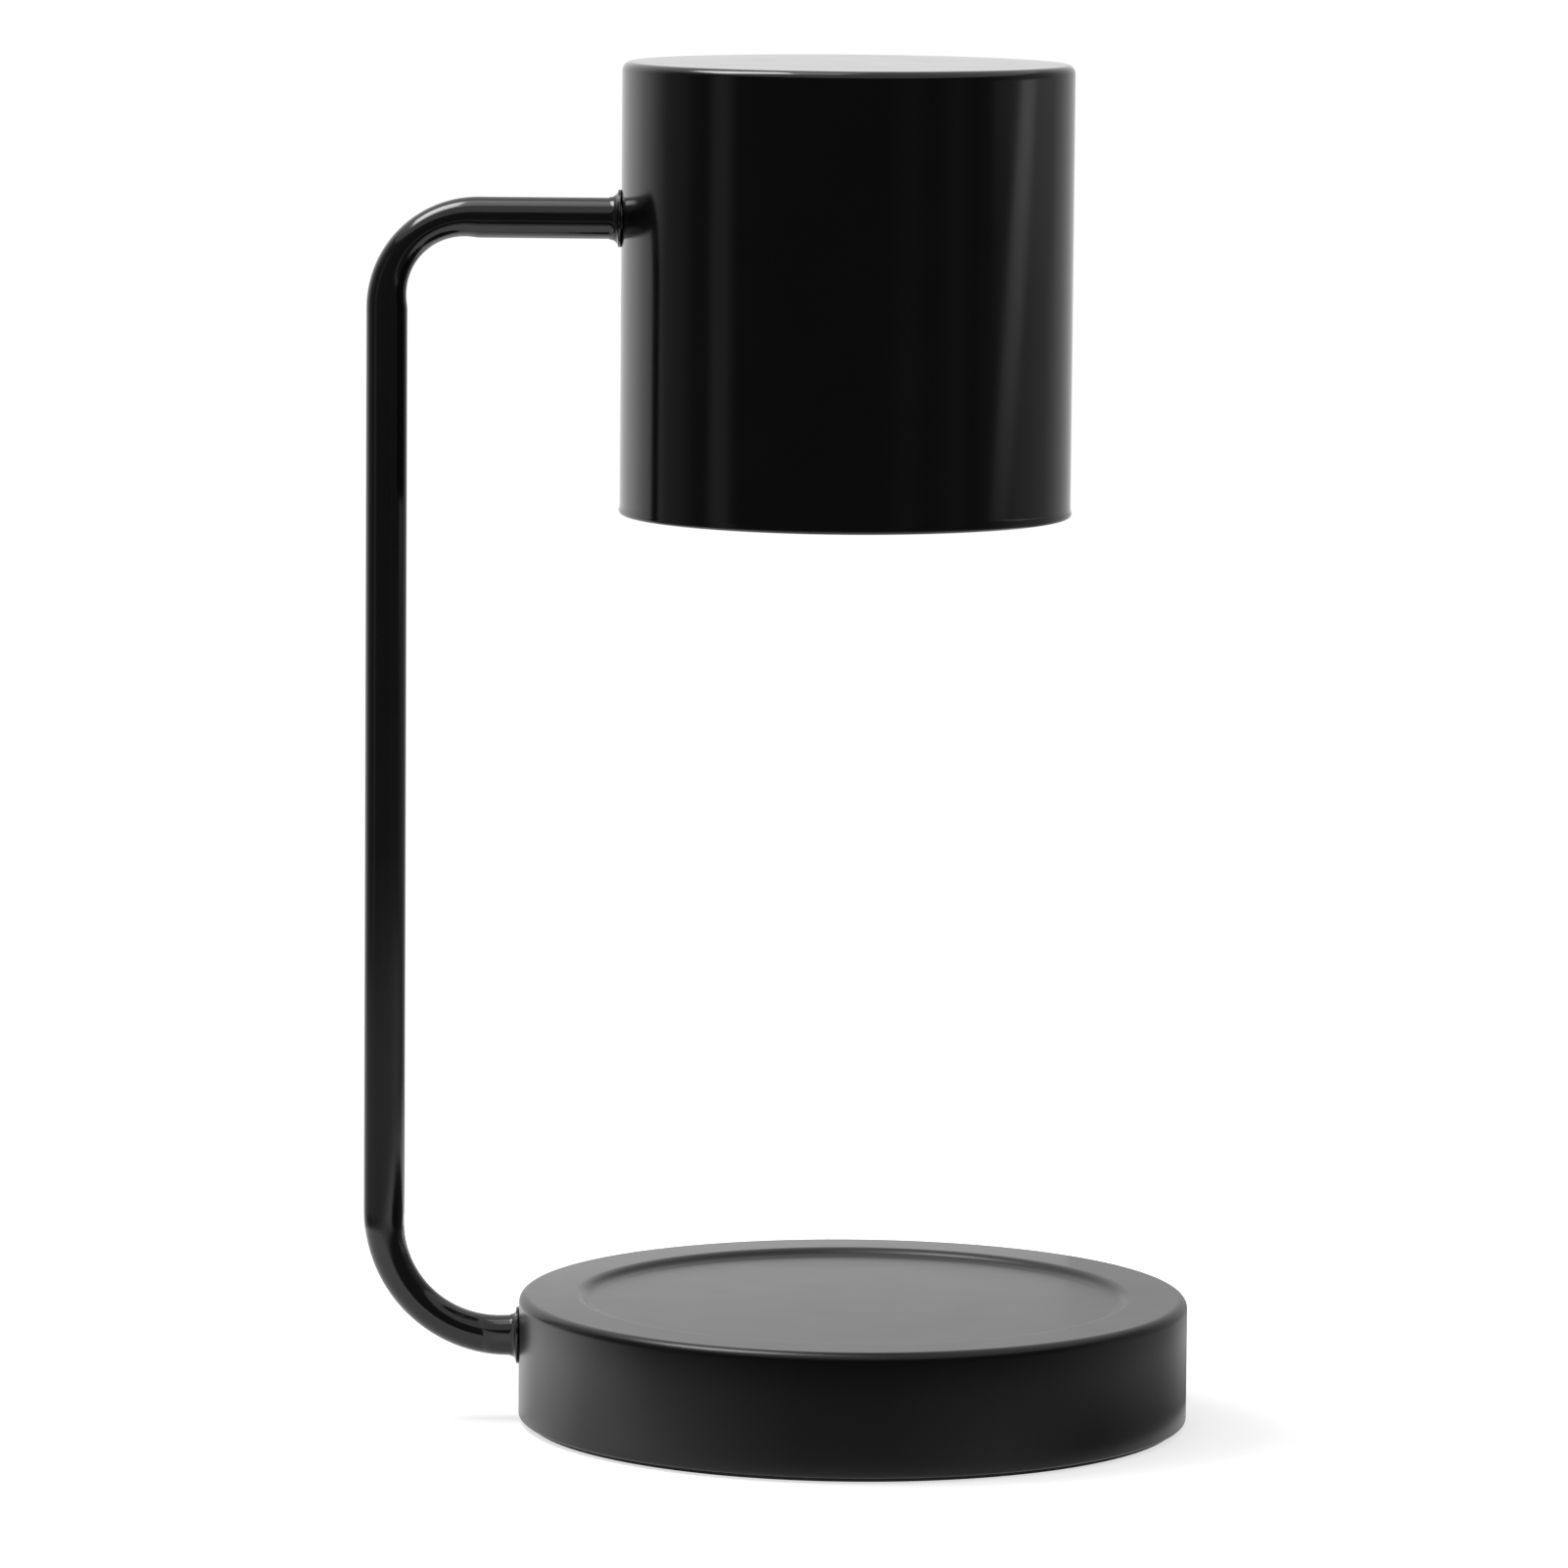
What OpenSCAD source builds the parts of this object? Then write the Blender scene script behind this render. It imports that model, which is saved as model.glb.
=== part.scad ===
// Candle warmer lamp. A round weighted base carries a bent steel pole, and the
// pole carries a cylindrical shade with a downlight bulb over the candle.
// Millimetres, +Z up. The origin is the centre of the face that rests on the
// table. The pole stands on the -X side and the cord enters on the +Y side.

/* [Base] */
// Outside diameter of the base
base_d = 150; // [136:1:170]
// Height of the base's rim above the table
base_h = 28.5; // [26:0.1:34]
// Sheet thickness of the pressed base shell
base_wall = 1.2; // [0.8:0.1:1.6]
// Radius of the shell's rounded shoulder
shoulder_r = 2.2; // [1.8:0.1:2.4]
// Diameter of the recess that the candle stands in
recess_d = 121; // [104:1:124]
// Depth of the recess below the rim
recess_depth = 1.5; // [0.8:0.1:2]
// Radius of the recess's rounded edges
recess_r = 0.6; // [0.3:0.1:0.7]
// Thickness of the foam pad under the base
pad_t = 2; // [1.8:0.1:3]
// How far the pad stands proud of the shell's lower edge
pad_proud = 1; // [0.5:0.1:1.5]
// Thickness of the steel plate that closes the base
plate_t = 1.2; // [0.8:0.1:2]
// Diameter of the circle that the base screws stand on
screw_circle_d = 96; // [80:1:100]
// Number of base screws
screw_count = 3; // [3:1:6]
// Length of thread that each base screw has in its boss
screw_bite = 9.5; // [6:0.1:10]

/* [Pole] */
// Outside diameter of the coated tube
pole_d = 9.2; // [8.6:0.1:10]
// Bore of the tube, which the leads run through
pole_bore = 5.8; // [5.4:0.1:6.2]
// Diameter of the thread at both ends of the tube
thread_d = 8; // [7.6:0.1:8.4]
// How far the lower arm's axis lies below the base's rim
pole_drop = 10; // [9.2:0.1:10.2]
// Centre line radius of the lower bend
bend_low_r = 28; // [20:0.1:36]
// Centre line radius of the upper bend
bend_top_r = 20.2; // [14:0.1:26]
// Straight length between the lower bend and its ferrule
low_straight = 0.4; // [0.2:0.1:12]
// Largest diameter of the flared ferrules
collar_d = 12.8; // [12:0.1:13.4]
// Length of the ferrule at the base
collar_low_l = 1.9; // [1.6:0.1:4]
// Length of the ferrule at the shade
collar_top_l = 2.6; // [1.6:0.1:4]
// Width across the flats of the pole's nuts
pole_nut_af = 11; // [10.4:0.1:11.6]
// Thickness of the pole's nuts
pole_nut_t = 4; // [3:0.1:5]
// Thickness of the pole's washers
washer_t = 1; // [0.6:0.1:1.4]
// Outside diameter of the pole's washers
washer_d = 14; // [13:0.5:15]

/* [Shade] */
// Outside diameter of the shade
shade_d = 100.2; // [90:0.1:116]
// Height of the shade
shade_h = 100.2; // [94:0.1:116]
// Sheet thickness of the shade
shade_wall = 0.8; // [0.6:0.1:1.2]
// Radius of the shade's rounded top edge
shade_top_r = 2; // [1.4:0.1:5]
// Radius of the rolled bead along the shade's lower edge
bead_r = 1; // [0.8:0.1:1.4]
// How far the bead stands out from the shade's wall
bead_out = 0.35; // [0.1:0.05:0.6]
// Height of the shade's lower edge above the table
shade_z = 204; // [170:0.5:240]
// How far the shade's axis lies behind the base's axis, towards the pole
shade_shift = 3.4; // [0:0.1:6]
// Height of the arm's axis above the shade's lower edge
arm_up = 65.4; // [60:0.1:70]

/* [Holder and bulb] */
// Width of the bracket strip
bracket_w = 20; // [16:0.5:24]
// Thickness of the bracket strip
bracket_t = 1.5; // [1:0.1:2]
// Height of the bracket's shelf above the arm's axis
bracket_rise = 17.5; // [16:0.1:19]
// Diameter of the ceramic lamp holder
holder_d = 28; // [27:0.5:32]
// Height of the ceramic lamp holder
holder_h = 15; // [14.5:0.1:17]
// Spacing of the two screws that hang the lamp holder
holder_screw_gap = 19; // [18.6:0.1:19.4]
// Spacing of the bulb's two pins
pin_gap = 10; // [9.6:0.1:10.4]
// Diameter of the pins' shanks
pin_shank_d = 3; // [2.8:0.1:3.2]
// Diameter of the pins' feet
pin_foot_d = 5; // [4.8:0.1:5.2]
// Angle that the bulb turns between its entry and its lock
twist_deg = 35; // [30:1:40]
// Largest diameter of the bulb
bulb_d = 50; // [48:0.5:52]
// Length of the bulb without its pins
bulb_l = 47; // [45:0.5:50]
// Height of the bulb's ceramic cap above its reflector
cap_h = 13; // [12:0.5:14]
// Diameter of the upper part of the bulb's cap
cap_d = 22; // [20:0.5:23]

/* [Leads and cord inlet] */
// Diameter of an insulated lead
wire_d = 1.8; // [1.4:0.1:1.9]
// Centre line radius of the bends in a lead
wire_bend_r = 7; // [5:0.1:7]
// Spacing of the two leads inside the tube
wire_gap = 2.1; // [2:0.1:2.2]
// Spacing of the two leads where they enter the lamp holder
lead_spread = 6.8; // [6.2:0.1:7.4]
// Bore of the rubber grommet that the cord passes through
cord_bore = 6.4; // [5:0.1:7]
// How far the grommet's axis lies below the base's rim
cord_drop = 10; // [9.4:0.1:11]
// Spacing of the terminal block's two poles
pole_pitch = 12; // [11.6:0.1:14]
// Length of the terminal block along the leads
block_l = 17; // [15:0.5:20]
// Clear length of the leads between the tube and the terminal block
lead_run = 16; // [14:0.5:18]
// Length of lead that is clamped inside the terminal block
lead_grip = 6; // [4:0.5:8]

/* [Hidden] */
$fn = 96;

// Colours as the photograph shows them, and of what it hides
coat_black = [0.05, 0.05, 0.055];
foam_black = [0.10, 0.10, 0.10];
iron_grey = [0.30, 0.30, 0.31];
zinc_grey = [0.68, 0.69, 0.70];
brass_gold = [0.76, 0.62, 0.30];
ceramic_white = [0.93, 0.92, 0.88];
glass_clear = [0.80, 0.86, 0.90, 0.4];
lead_brown = [0.35, 0.20, 0.10];
lead_blue = [0.10, 0.25, 0.60];

// Clearances
slip = 0.1;          // radial gap round a screw, stud or bush in its hole
loose = 0.3;         // gap between pieces that must not rub
pin_play = 0.2;      // gap between the bulb and its holder
thread_fit = 0.05;   // radial gap of a screw, nut or moulding that grips its mate
eps = 0.01;          // overlap that lets a cut run through a face
over = 1;            // how far a cutting tool runs past the piece it cuts
bite = 0.1;          // how far a lead's straight runs into a bend
bend_swell = 0.02;   // how much a lead's radius grows in a bend

// Base
base_r = base_d / 2;
base_in_r = base_r - base_wall;
recess_edge_r = min(recess_r, recess_depth / 2 - 0.05);
recess_floor_z = base_h - recess_depth;
shell_under_z = recess_floor_z - base_wall;
plate_z = pad_t;
plate_top_z = plate_z + plate_t;
pole_z = base_h - pole_drop;
weight_top_z = pole_z - pole_nut_af / 2 - loose;
weight_r = base_in_r - 4.8;
boss_d = 8;
screw_d = 4;
screw_head_d = 8.5;
screw_head_t = 1.6;
screw_tip_room = 0.6;

// Grommet, moulded to the curve of the wall that it is pressed into
cord_z = base_h - cord_drop;
grommet_neck_r = cord_bore / 2 + 1.4;
grommet_flange_r = grommet_neck_r + 1.6;
grommet_flange_t = 1.8;

// Pole: the shoulders are where the full tube ends and its threads begin
collar_rim_t = 0.6;
spigot_out = 1.3;
low_shoulder_x = -(base_r + collar_low_l);
low_bend_x = low_shoulder_x - low_straight;
pole_x = low_bend_x - bend_low_r;
low_bend_z = pole_z + bend_low_r;
arm_z = shade_z + arm_up;
top_bend_x = pole_x + bend_top_r;
top_bend_z = arm_z - bend_top_r;

// Shade
shade_r = shade_d / 2;
shade_in_r = shade_r - shade_wall;
shade_x = -shade_shift;
shade_top_z = shade_z + shade_h;
top_shoulder_x = shade_x - shade_r - collar_top_l;

// Where a flat piece of a given width meets the inside of a round wall
function chord_depth(r, width) = sqrt(r * r - width * width / 4);
low_seat_x = -chord_depth(base_in_r, washer_d);
bracket_x = shade_x - chord_depth(shade_in_r, bracket_w);
top_seat_x = bracket_x + bracket_t;
low_end_x = low_seat_x + washer_t + pole_nut_t + spigot_out;
top_end_x = top_seat_x + washer_t + pole_nut_t + spigot_out;
grommet_in_y = chord_depth(base_in_r, 2 * grommet_flange_r) - grommet_flange_t;

// Bushes that line the tube's two mouths
bush_flange_d = thread_d - 0.4;
bush_flange_t = 1;
bush_l = 4;
bush_bore = wire_gap + wire_d + 0.7;

// Lamp holder
shelf_z = arm_z + bracket_rise;
holder_z = shelf_z - holder_h;
ledge_t = 2.7;
pin_l = 7;
pin_chamfer = 0.5;
pin_r = pin_gap / 2;
bulb_top_z = holder_z - pin_play;
foot_z = holder_z + ledge_t + pin_play;
pin_top_z = bulb_top_z + pin_l;
chamber_top_z = pin_top_z + 2.7;
lead_z = shelf_z - 3.2;
tab_t = 2.2;
tab_w = 3.4;
tab_y = 0.5;
tab_x = shade_x - tab_w / 2;
m3_d = 3;
m3_head_d = 5.6;
m3_head_t = 2;
m3_nut_af = 5.5;
m3_nut_t = 2.4;
pocket_t = 2.8;
slot_t = 0.9;

// Bulb, measured down from its top face
bulb_front_z = bulb_top_z - bulb_l;
bulb_rim_t = 3.5;
bulb_rim_z = bulb_front_z + bulb_rim_t;
glass_t = 1.3;
neck_z = bulb_top_z - cap_h;
neck_r = 12;
skirt_r = neck_r + 1.5;
skirt_t = 2;
skirt_slope_h = 3;
lens_t = 1.8;
lens_r = bulb_d / 2 - 1.6;
// The reflector's arc stands upright at the rim and reaches neck_r at the neck
cup_r = bulb_d / 2 - 0.4;
cup_h = neck_z - bulb_rim_z;
arc_r = ((cup_r - neck_r) * (cup_r - neck_r) + cup_h * cup_h) / (2 * (cup_r - neck_r));
capsule_r = 4.2;
capsule_l = 21;
capsule_t = 0.9;
pinch_l = 5;
tip_z = neck_z - capsule_l + capsule_r;

// Terminal block
barrel_r = 2.5;
barrel_bore = 3;
barrel_l = 14;
block_cheek = 4.5;
block_w = pole_pitch + 2 * block_cheek;
block_top_z = pole_z + 4.7;
block_face_x = low_end_x + bush_flange_t + lead_run;
block_x = block_face_x + block_l / 2;
clamp_gap = 8;
clamp_d = 2.6;
clamp_head_r = 1.7;
block_screw_bite = 5;

// ---------------------------------------------------------------- shapes

// Solid bar or tube core from one X to another at a height, on the plane Y = y
module bar_x(x0, x1, y, z, r) {
    translate([x0, y, z]) rotate([0, 90, 0]) cylinder(r = r, h = x1 - x0);
}

// Solid bar that stands between two heights
module bar_z(x, y, z0, z1, r) {
    translate([x, y, z0]) cylinder(r = r, h = z1 - z0);
}

// Bend in an upright plane: angles run from +X towards +Z
module bend_xz(x, y, z, bend_r, from, sweep, r) {
    translate([x, y, z]) rotate([90, 0, 0])
        rotate_extrude(angle = sweep, start = from) translate([bend_r, 0]) circle(r = r);
}

// Bend in a level plane: angles run from +X towards +Y
module bend_xy(x, y, z, bend_r, from, sweep, r) {
    translate([x, y, z])
        rotate_extrude(angle = sweep, start = from) translate([bend_r, 0]) circle(r = r);
}

// The pole's bent route as a solid of radius r, between its two shoulders
module pole_route(y, r) {
    bar_x(low_bend_x, low_shoulder_x, y, pole_z, r);
    bend_xz(low_bend_x, y, low_bend_z, bend_low_r, 180, 90, r);
    bar_z(pole_x, y, low_bend_z, top_bend_z, r);
    bend_xz(top_bend_x, y, top_bend_z, bend_top_r, 90, 90, r);
    bar_x(top_bend_x, top_shoulder_x, y, arm_z, r);
}

// Half profile with a rounded upper outer corner
module rounded_profile(r, z0, z1, corner) {
    translate([0, z0]) square([r, z1 - corner - z0]);
    translate([0, z0]) square([r - corner, z1 - z0]);
    translate([r - corner, z1 - corner]) circle(r = corner);
}

// Ferrule that lies on the plane X = 0 and flares towards it from the -X side
module ferrule(length) {
    neck = pole_d / 2 + 0.15;
    flare = length - collar_rim_t;
    rotate([0, -90, 0]) rotate_extrude() difference() {
        intersection() {
            union() {
                square([neck + flare, length]);
                square([collar_d / 2, collar_rim_t]);
            }
            square([collar_d / 2, length]);
        }
        translate([neck + flare, length]) circle(r = flare);
        translate([-eps, -eps]) square([thread_d / 2 + slip + eps, length + 2 * eps]);
    }
}

// Hexagon nut with its axis along X and two flats level
module nut_x(af, t, bore_r) {
    rotate([0, 90, 0]) rotate([0, 0, 30]) difference() {
        cylinder(r = af / sqrt(3), h = t, $fn = 6);
        translate([0, 0, -eps]) cylinder(r = bore_r, h = t + 2 * eps);
    }
}

// Plain washer with its axis along X
module washer_x(d, t, bore_r) {
    rotate([0, 90, 0]) difference() {
        cylinder(r = d / 2, h = t);
        translate([0, 0, -eps]) cylinder(r = bore_r, h = t + 2 * eps);
    }
}

// Bush whose sleeve runs in +X from its flange at X = 0
module bush_x() {
    rotate([0, 90, 0]) difference() {
        union() {
            translate([0, 0, -bush_flange_t]) cylinder(r = bush_flange_d / 2, h = bush_flange_t);
            cylinder(r = pole_bore / 2 - slip, h = bush_l);
        }
        translate([0, 0, -bush_flange_t - eps])
            cylinder(r = bush_bore / 2, h = bush_l + bush_flange_t + 2 * eps);
    }
}

// Places its children at every base screw
module at_base_screws() {
    for (i = [0:screw_count - 1])
        rotate([0, 0, i * 360 / screw_count]) translate([screw_circle_d / 2, 0, 0]) children();
}

// ------------------------------------------------------------------ base

module base_shell() {
    color(coat_black) difference() {
        union() {
            rotate_extrude() difference() {
                union() {
                    difference() {
                        union() {
                            rounded_profile(base_r, pad_proud + base_wall / 2, base_h, shoulder_r);
                            translate([base_r - base_wall / 2, pad_proud + base_wall / 2])
                                circle(r = base_wall / 2);
                        }
                        translate([0, -base_h])
                            rounded_profile(base_in_r, 0, 2 * base_h - base_wall,
                                max(shoulder_r - base_wall, 0.4));
                    }
                    translate([0, shell_under_z])
                        square([recess_d / 2 + base_wall, recess_depth + base_wall / 2]);
                }
                recess_profile();
            }
            at_base_screws() bar_z(0, 0, weight_top_z, shell_under_z + base_wall / 2, boss_d / 2);
        }
        at_base_screws() bar_z(0, 0, weight_top_z - eps, weight_top_z + screw_bite + screw_tip_room,
            screw_d / 2);
        bar_x(-base_r - over, -base_in_r + over, 0, pole_z, thread_d / 2 + slip);
        bar_y(grommet_in_y, base_r + over, grommet_neck_r, grommet_neck_r);
    }
}

// The pressed recess: a round-edged step down from the rim
module recess_profile() {
    r = recess_d / 2;
    e = recess_edge_r;
    translate([0, recess_floor_z]) square([r - e, recess_depth + over]);
    translate([0, recess_floor_z + e]) square([r, recess_depth + over]);
    translate([r - e, recess_floor_z + e]) circle(r = e);
    difference() {
        translate([r - eps, base_h - e]) square([e + eps, e + over]);
        translate([r + e, base_h - e]) circle(r = e);
    }
}

module base_weight() {
    color(iron_grey) difference() {
        rotate_extrude() rounded_profile(weight_r, plate_top_z, weight_top_z, 1);
        at_base_screws() bar_z(0, 0, plate_top_z - over, weight_top_z + over, screw_d / 2 + 0.5);
        bar_z(block_x, 0, weight_top_z - block_screw_bite - over, weight_top_z + over, m3_d / 2);
    }
}

module bottom_plate() {
    color(zinc_grey) difference() {
        translate([0, 0, plate_z]) cylinder(r = base_in_r - loose, h = plate_t);
        at_base_screws() bar_z(0, 0, plate_z - over, plate_top_z + over, screw_d / 2 + 2 * slip);
    }
}

module foot_pad() {
    color(foam_black) difference() {
        cylinder(r = base_in_r - 0.8, h = pad_t);
        at_base_screws() bar_z(0, 0, -over, pad_t + over, screw_head_d / 2 + 1.2);
    }
}

module base_screws() {
    color(zinc_grey) at_base_screws() difference() {
        union() {
            bar_z(0, 0, plate_z - screw_head_t, plate_z, screw_head_d / 2);
            bar_z(0, 0, plate_z - eps, weight_top_z + screw_bite, screw_d / 2 - thread_fit);
        }
        translate([0, 0, plate_z - screw_head_t - over]) cross_slot(4.6, 0.9, over + slot_t);
    }
}

// Cross recess for a screwdriver, cut up from Z = 0
module cross_slot(length, width, depth) {
    translate([-length / 2, -width / 2, 0]) cube([length, width, depth]);
    translate([-width / 2, -length / 2, 0]) cube([width, length, depth]);
}

// Bar along Y that reaches from y1 down to y0 at the grommet's height; r1 is its
// radius at the y1 end
module bar_y(y0, y1, r1, r0) {
    translate([0, y1, cord_z]) rotate([90, 0, 0]) cylinder(r1 = r1, r2 = r0, h = y1 - y0);
}

module cord_grommet() {
    out_y = base_r + grommet_flange_t;
    neck_in = grommet_neck_r - thread_fit;
    color(foam_black) difference() {
        union() {
            difference() {
                bar_y(base_r - over, out_y, grommet_flange_r - 0.6, grommet_flange_r);
                cylinder(r = base_r, h = base_h);
            }
            bar_y(grommet_in_y, base_r + 0.5, neck_in, neck_in);
            intersection() {
                bar_y(grommet_in_y, base_r, grommet_flange_r, grommet_flange_r);
                cylinder(r = base_in_r, h = base_h);
            }
        }
        bar_y(grommet_in_y - over, out_y + over, cord_bore / 2, cord_bore / 2);
    }
}

// -------------------------------------------------------- terminal block

module terminal_block() {
    color(ceramic_white) difference() {
        translate([block_face_x, -block_w / 2, weight_top_z])
            cube([block_l, block_w, block_top_z - weight_top_z]);
        for (side = [-1, 1]) {
            bar_x(block_x - barrel_l / 2 - slip, block_x + barrel_l / 2 + slip,
                side * pole_pitch / 2, pole_z, barrel_r + slip);
            bar_x(block_face_x - over, block_face_x + block_l + over, side * pole_pitch / 2, pole_z,
                barrel_bore / 2 + 0.4);
            for (end = [-1, 1])
                bar_z(block_x + end * clamp_gap / 2, side * pole_pitch / 2, pole_z, block_top_z + over,
                    clamp_head_r + loose);
        }
        bar_z(block_x, 0, weight_top_z - over, block_top_z + over, m3_d / 2 + slip);
        bar_z(block_x, 0, pole_z, block_top_z + over, m3_head_d / 2 + slip);
    }
}

module terminal_barrels() {
    color(brass_gold) for (side = [-1, 1]) difference() {
        bar_x(block_x - barrel_l / 2, block_x + barrel_l / 2, side * pole_pitch / 2, pole_z, barrel_r);
        bar_x(block_x - barrel_l / 2 - over, block_x + barrel_l / 2 + over,
            side * pole_pitch / 2, pole_z, barrel_bore / 2);
        for (end = [-1, 1])
            bar_z(block_x + end * clamp_gap / 2, side * pole_pitch / 2, pole_z, block_top_z, clamp_d / 2);
    }
}

module terminal_screws() {
    color(zinc_grey) for (side = [-1, 1], end = [-1, 1])
        translate([block_x + end * clamp_gap / 2, side * pole_pitch / 2, 0]) difference() {
            union() {
                bar_z(0, 0, pole_z + wire_d / 2 + slip, pole_z + barrel_r + 2 * slip,
                    clamp_d / 2 - thread_fit);
                bar_z(0, 0, pole_z + barrel_r + slip, block_top_z - 0.4, clamp_head_r);
            }
            translate([-clamp_d, -0.3, block_top_z - 1.2]) cube([2 * clamp_d, 0.6, 2]);
        }
}

module block_screw() {
    color(zinc_grey) translate([block_x, 0, 0]) difference() {
        union() {
            bar_z(0, 0, weight_top_z - block_screw_bite, pole_z + eps, m3_d / 2 - thread_fit);
            bar_z(0, 0, pole_z, pole_z + m3_head_t, m3_head_d / 2);
        }
        translate([0, 0, pole_z + m3_head_t - slot_t]) cross_slot(3, 0.7, 2);
    }
}

// ------------------------------------------------------------------ pole

module pole_tube() {
    color(coat_black) difference() {
        union() {
            pole_route(0, pole_d / 2);
            bar_x(low_shoulder_x, low_end_x, 0, pole_z, thread_d / 2);
            bar_x(top_shoulder_x, top_end_x, 0, arm_z, thread_d / 2);
        }
        pole_route(0, pole_bore / 2);
        bar_x(low_shoulder_x, low_end_x + over, 0, pole_z, pole_bore / 2);
        bar_x(top_shoulder_x, top_end_x + over, 0, arm_z, pole_bore / 2);
    }
}

module pole_collar_base() {
    color(coat_black) translate([-base_r, 0, pole_z]) ferrule(collar_low_l);
}

module pole_collar_top() {
    color(coat_black) translate([shade_x - shade_r, 0, arm_z]) ferrule(collar_top_l);
}

module pole_washer_base() {
    color(zinc_grey) translate([low_seat_x, 0, pole_z])
        washer_x(washer_d, washer_t, thread_d / 2 + slip);
}

module pole_washer_top() {
    color(zinc_grey) translate([top_seat_x, 0, arm_z])
        washer_x(washer_d, washer_t, thread_d / 2 + slip);
}

module pole_nut_base() {
    color(zinc_grey) translate([low_seat_x + washer_t, 0, pole_z])
        nut_x(pole_nut_af, pole_nut_t, thread_d / 2 + thread_fit);
}

module pole_nut_top() {
    color(zinc_grey) translate([top_seat_x + washer_t, 0, arm_z])
        nut_x(pole_nut_af, pole_nut_t, thread_d / 2 + thread_fit);
}

module tube_bush_base() {
    color(foam_black) translate([low_end_x, 0, pole_z]) mirror([1, 0, 0]) bush_x();
}

module tube_bush_top() {
    color(foam_black) translate([top_end_x, 0, arm_z]) mirror([1, 0, 0]) bush_x();
}

// ----------------------------------------------------------------- leads

// An S of two equal bends with a straight between them, which shifts a lead
// sideways by shift over the length len
function s_span(len, shift) = norm([len, shift - 2 * wire_bend_r]);
function s_turn(len, shift) =
    atan2(shift - 2 * wire_bend_r, len) + asin(2 * wire_bend_r / s_span(len, shift));
function s_straight(len, shift) = sqrt(pow(s_span(len, shift), 2) - 4 * wire_bend_r * wire_bend_r);

// The S in a level plane: it starts at the origin along +X and shifts to +Y. The
// insulation swells a hair in its bends, and each straight bites into them.
module s_bend(len, shift, r) {
    turn = s_turn(len, shift);
    bend_xy(0, wire_bend_r, 0, wire_bend_r, 270, turn, r + bend_swell);
    translate([wire_bend_r * sin(turn), wire_bend_r * (1 - cos(turn)), 0])
        rotate([0, 0, turn]) bar_x(-bite, s_straight(len, shift) + bite, 0, 0, r);
    bend_xy(len, shift - wire_bend_r, 0, wire_bend_r, 90, turn, r + bend_swell);
}

// The lead on the +Y side, from the terminal block through the tube to the holder
module lead() {
    y = wire_gap / 2;
    r = wire_d / 2;
    straight = 1.5;
    block_end_x = block_face_x - straight;
    low_x = low_end_x + bush_flange_t + straight;
    top_x = top_end_x + bush_flange_t + straight;
    holder_x = shade_x - holder_d / 2 - straight;
    bar_x(block_end_x - bite, block_face_x + lead_grip, pole_pitch / 2, pole_z, r);
    translate([low_x, y, pole_z]) s_bend(block_end_x - low_x, pole_pitch / 2 - y, r);
    bar_x(low_shoulder_x, low_x + bite, y, pole_z, r);
    pole_route(y, r);
    bar_x(top_shoulder_x, top_x + bite, y, arm_z, r);
    translate([top_x, y, arm_z]) rotate([atan2(lead_z - arm_z, lead_spread / 2 - y), 0, 0])
        s_bend(holder_x - top_x, norm([lead_spread / 2 - y, lead_z - arm_z]), r);
    bar_x(holder_x - bite, tab_x, lead_spread / 2, lead_z, r);
}

module wire_live() {
    color(lead_brown) lead();
}

module wire_neutral() {
    color(lead_blue) mirror([0, 1, 0]) lead();
}

// ----------------------------------------------------------------- shade

module shade_shell() {
    color(coat_black) translate([shade_x, 0, 0]) difference() {
        rotate_extrude() {
            difference() {
                rounded_profile(shade_r, shade_z + bead_r, shade_top_z, shade_top_r);
                translate([0, -shade_top_z])
                    rounded_profile(shade_in_r, 0, 2 * shade_top_z - shade_wall,
                        max(shade_top_r - shade_wall, 0.4));
            }
            translate([shade_r + bead_out - bead_r, shade_z + bead_r]) circle(r = bead_r);
        }
        bar_x(-shade_r - over, -shade_in_r + over, 0, arm_z, thread_d / 2 + slip);
    }
}

module holder_bracket() {
    foot_drop = washer_d / 2 + 2;
    tip_x = shade_x + holder_d / 2;
    shelf_top = shelf_z + bracket_t;
    bend_in = 1;
    color(zinc_grey) difference() {
        translate([bracket_x, bracket_w / 2, arm_z - foot_drop]) rotate([90, 0, 0])
            linear_extrude(height = bracket_w)
                strip_profile(tip_x - bracket_x, shelf_top - arm_z + foot_drop, bracket_t, bend_in);
        bar_x(bracket_x - over, top_seat_x + over, 0, arm_z, thread_d / 2 + slip);
        at_holder_screws() bar_z(0, 0, shelf_z - over, shelf_top + over, m3_d / 2 + 2 * slip);
    }
}

// Side view of a strip that climbs from the origin and bends over towards +X
module strip_profile(reach, rise, t, bend_in) {
    bend_out = bend_in + t;
    square([t, rise - bend_out]);
    translate([bend_out, rise - t]) square([reach - bend_out, t]);
    intersection() {
        translate([0, rise - bend_out]) square([bend_out, bend_out]);
        difference() {
            translate([bend_out, rise - bend_out]) circle(r = bend_out);
            translate([bend_out, rise - bend_out]) circle(r = bend_in);
        }
    }
}

// ----------------------------------------------------------- lamp holder

module at_holder_screws() {
    for (end = [-1, 1]) translate([shade_x + end * holder_screw_gap / 2, 0, 0]) children();
}

// Solid that a round foot of radius r sweeps as the bulb turns to its lock. The
// way between the two ends is a little narrower than the ends are.
module twist_sweep(r, z0, z1) {
    waist = r - slip;
    for (side = [90, 270]) rotate([0, 0, side]) {
        translate([pin_r, 0, z0]) cylinder(r = r, h = z1 - z0);
        rotate([0, 0, -twist_deg]) translate([pin_r, 0, z0]) cylinder(r = r, h = z1 - z0);
        rotate_extrude(angle = twist_deg, start = -twist_deg)
            translate([pin_r - waist, z0]) square([2 * waist, z1 - z0]);
    }
}

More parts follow.
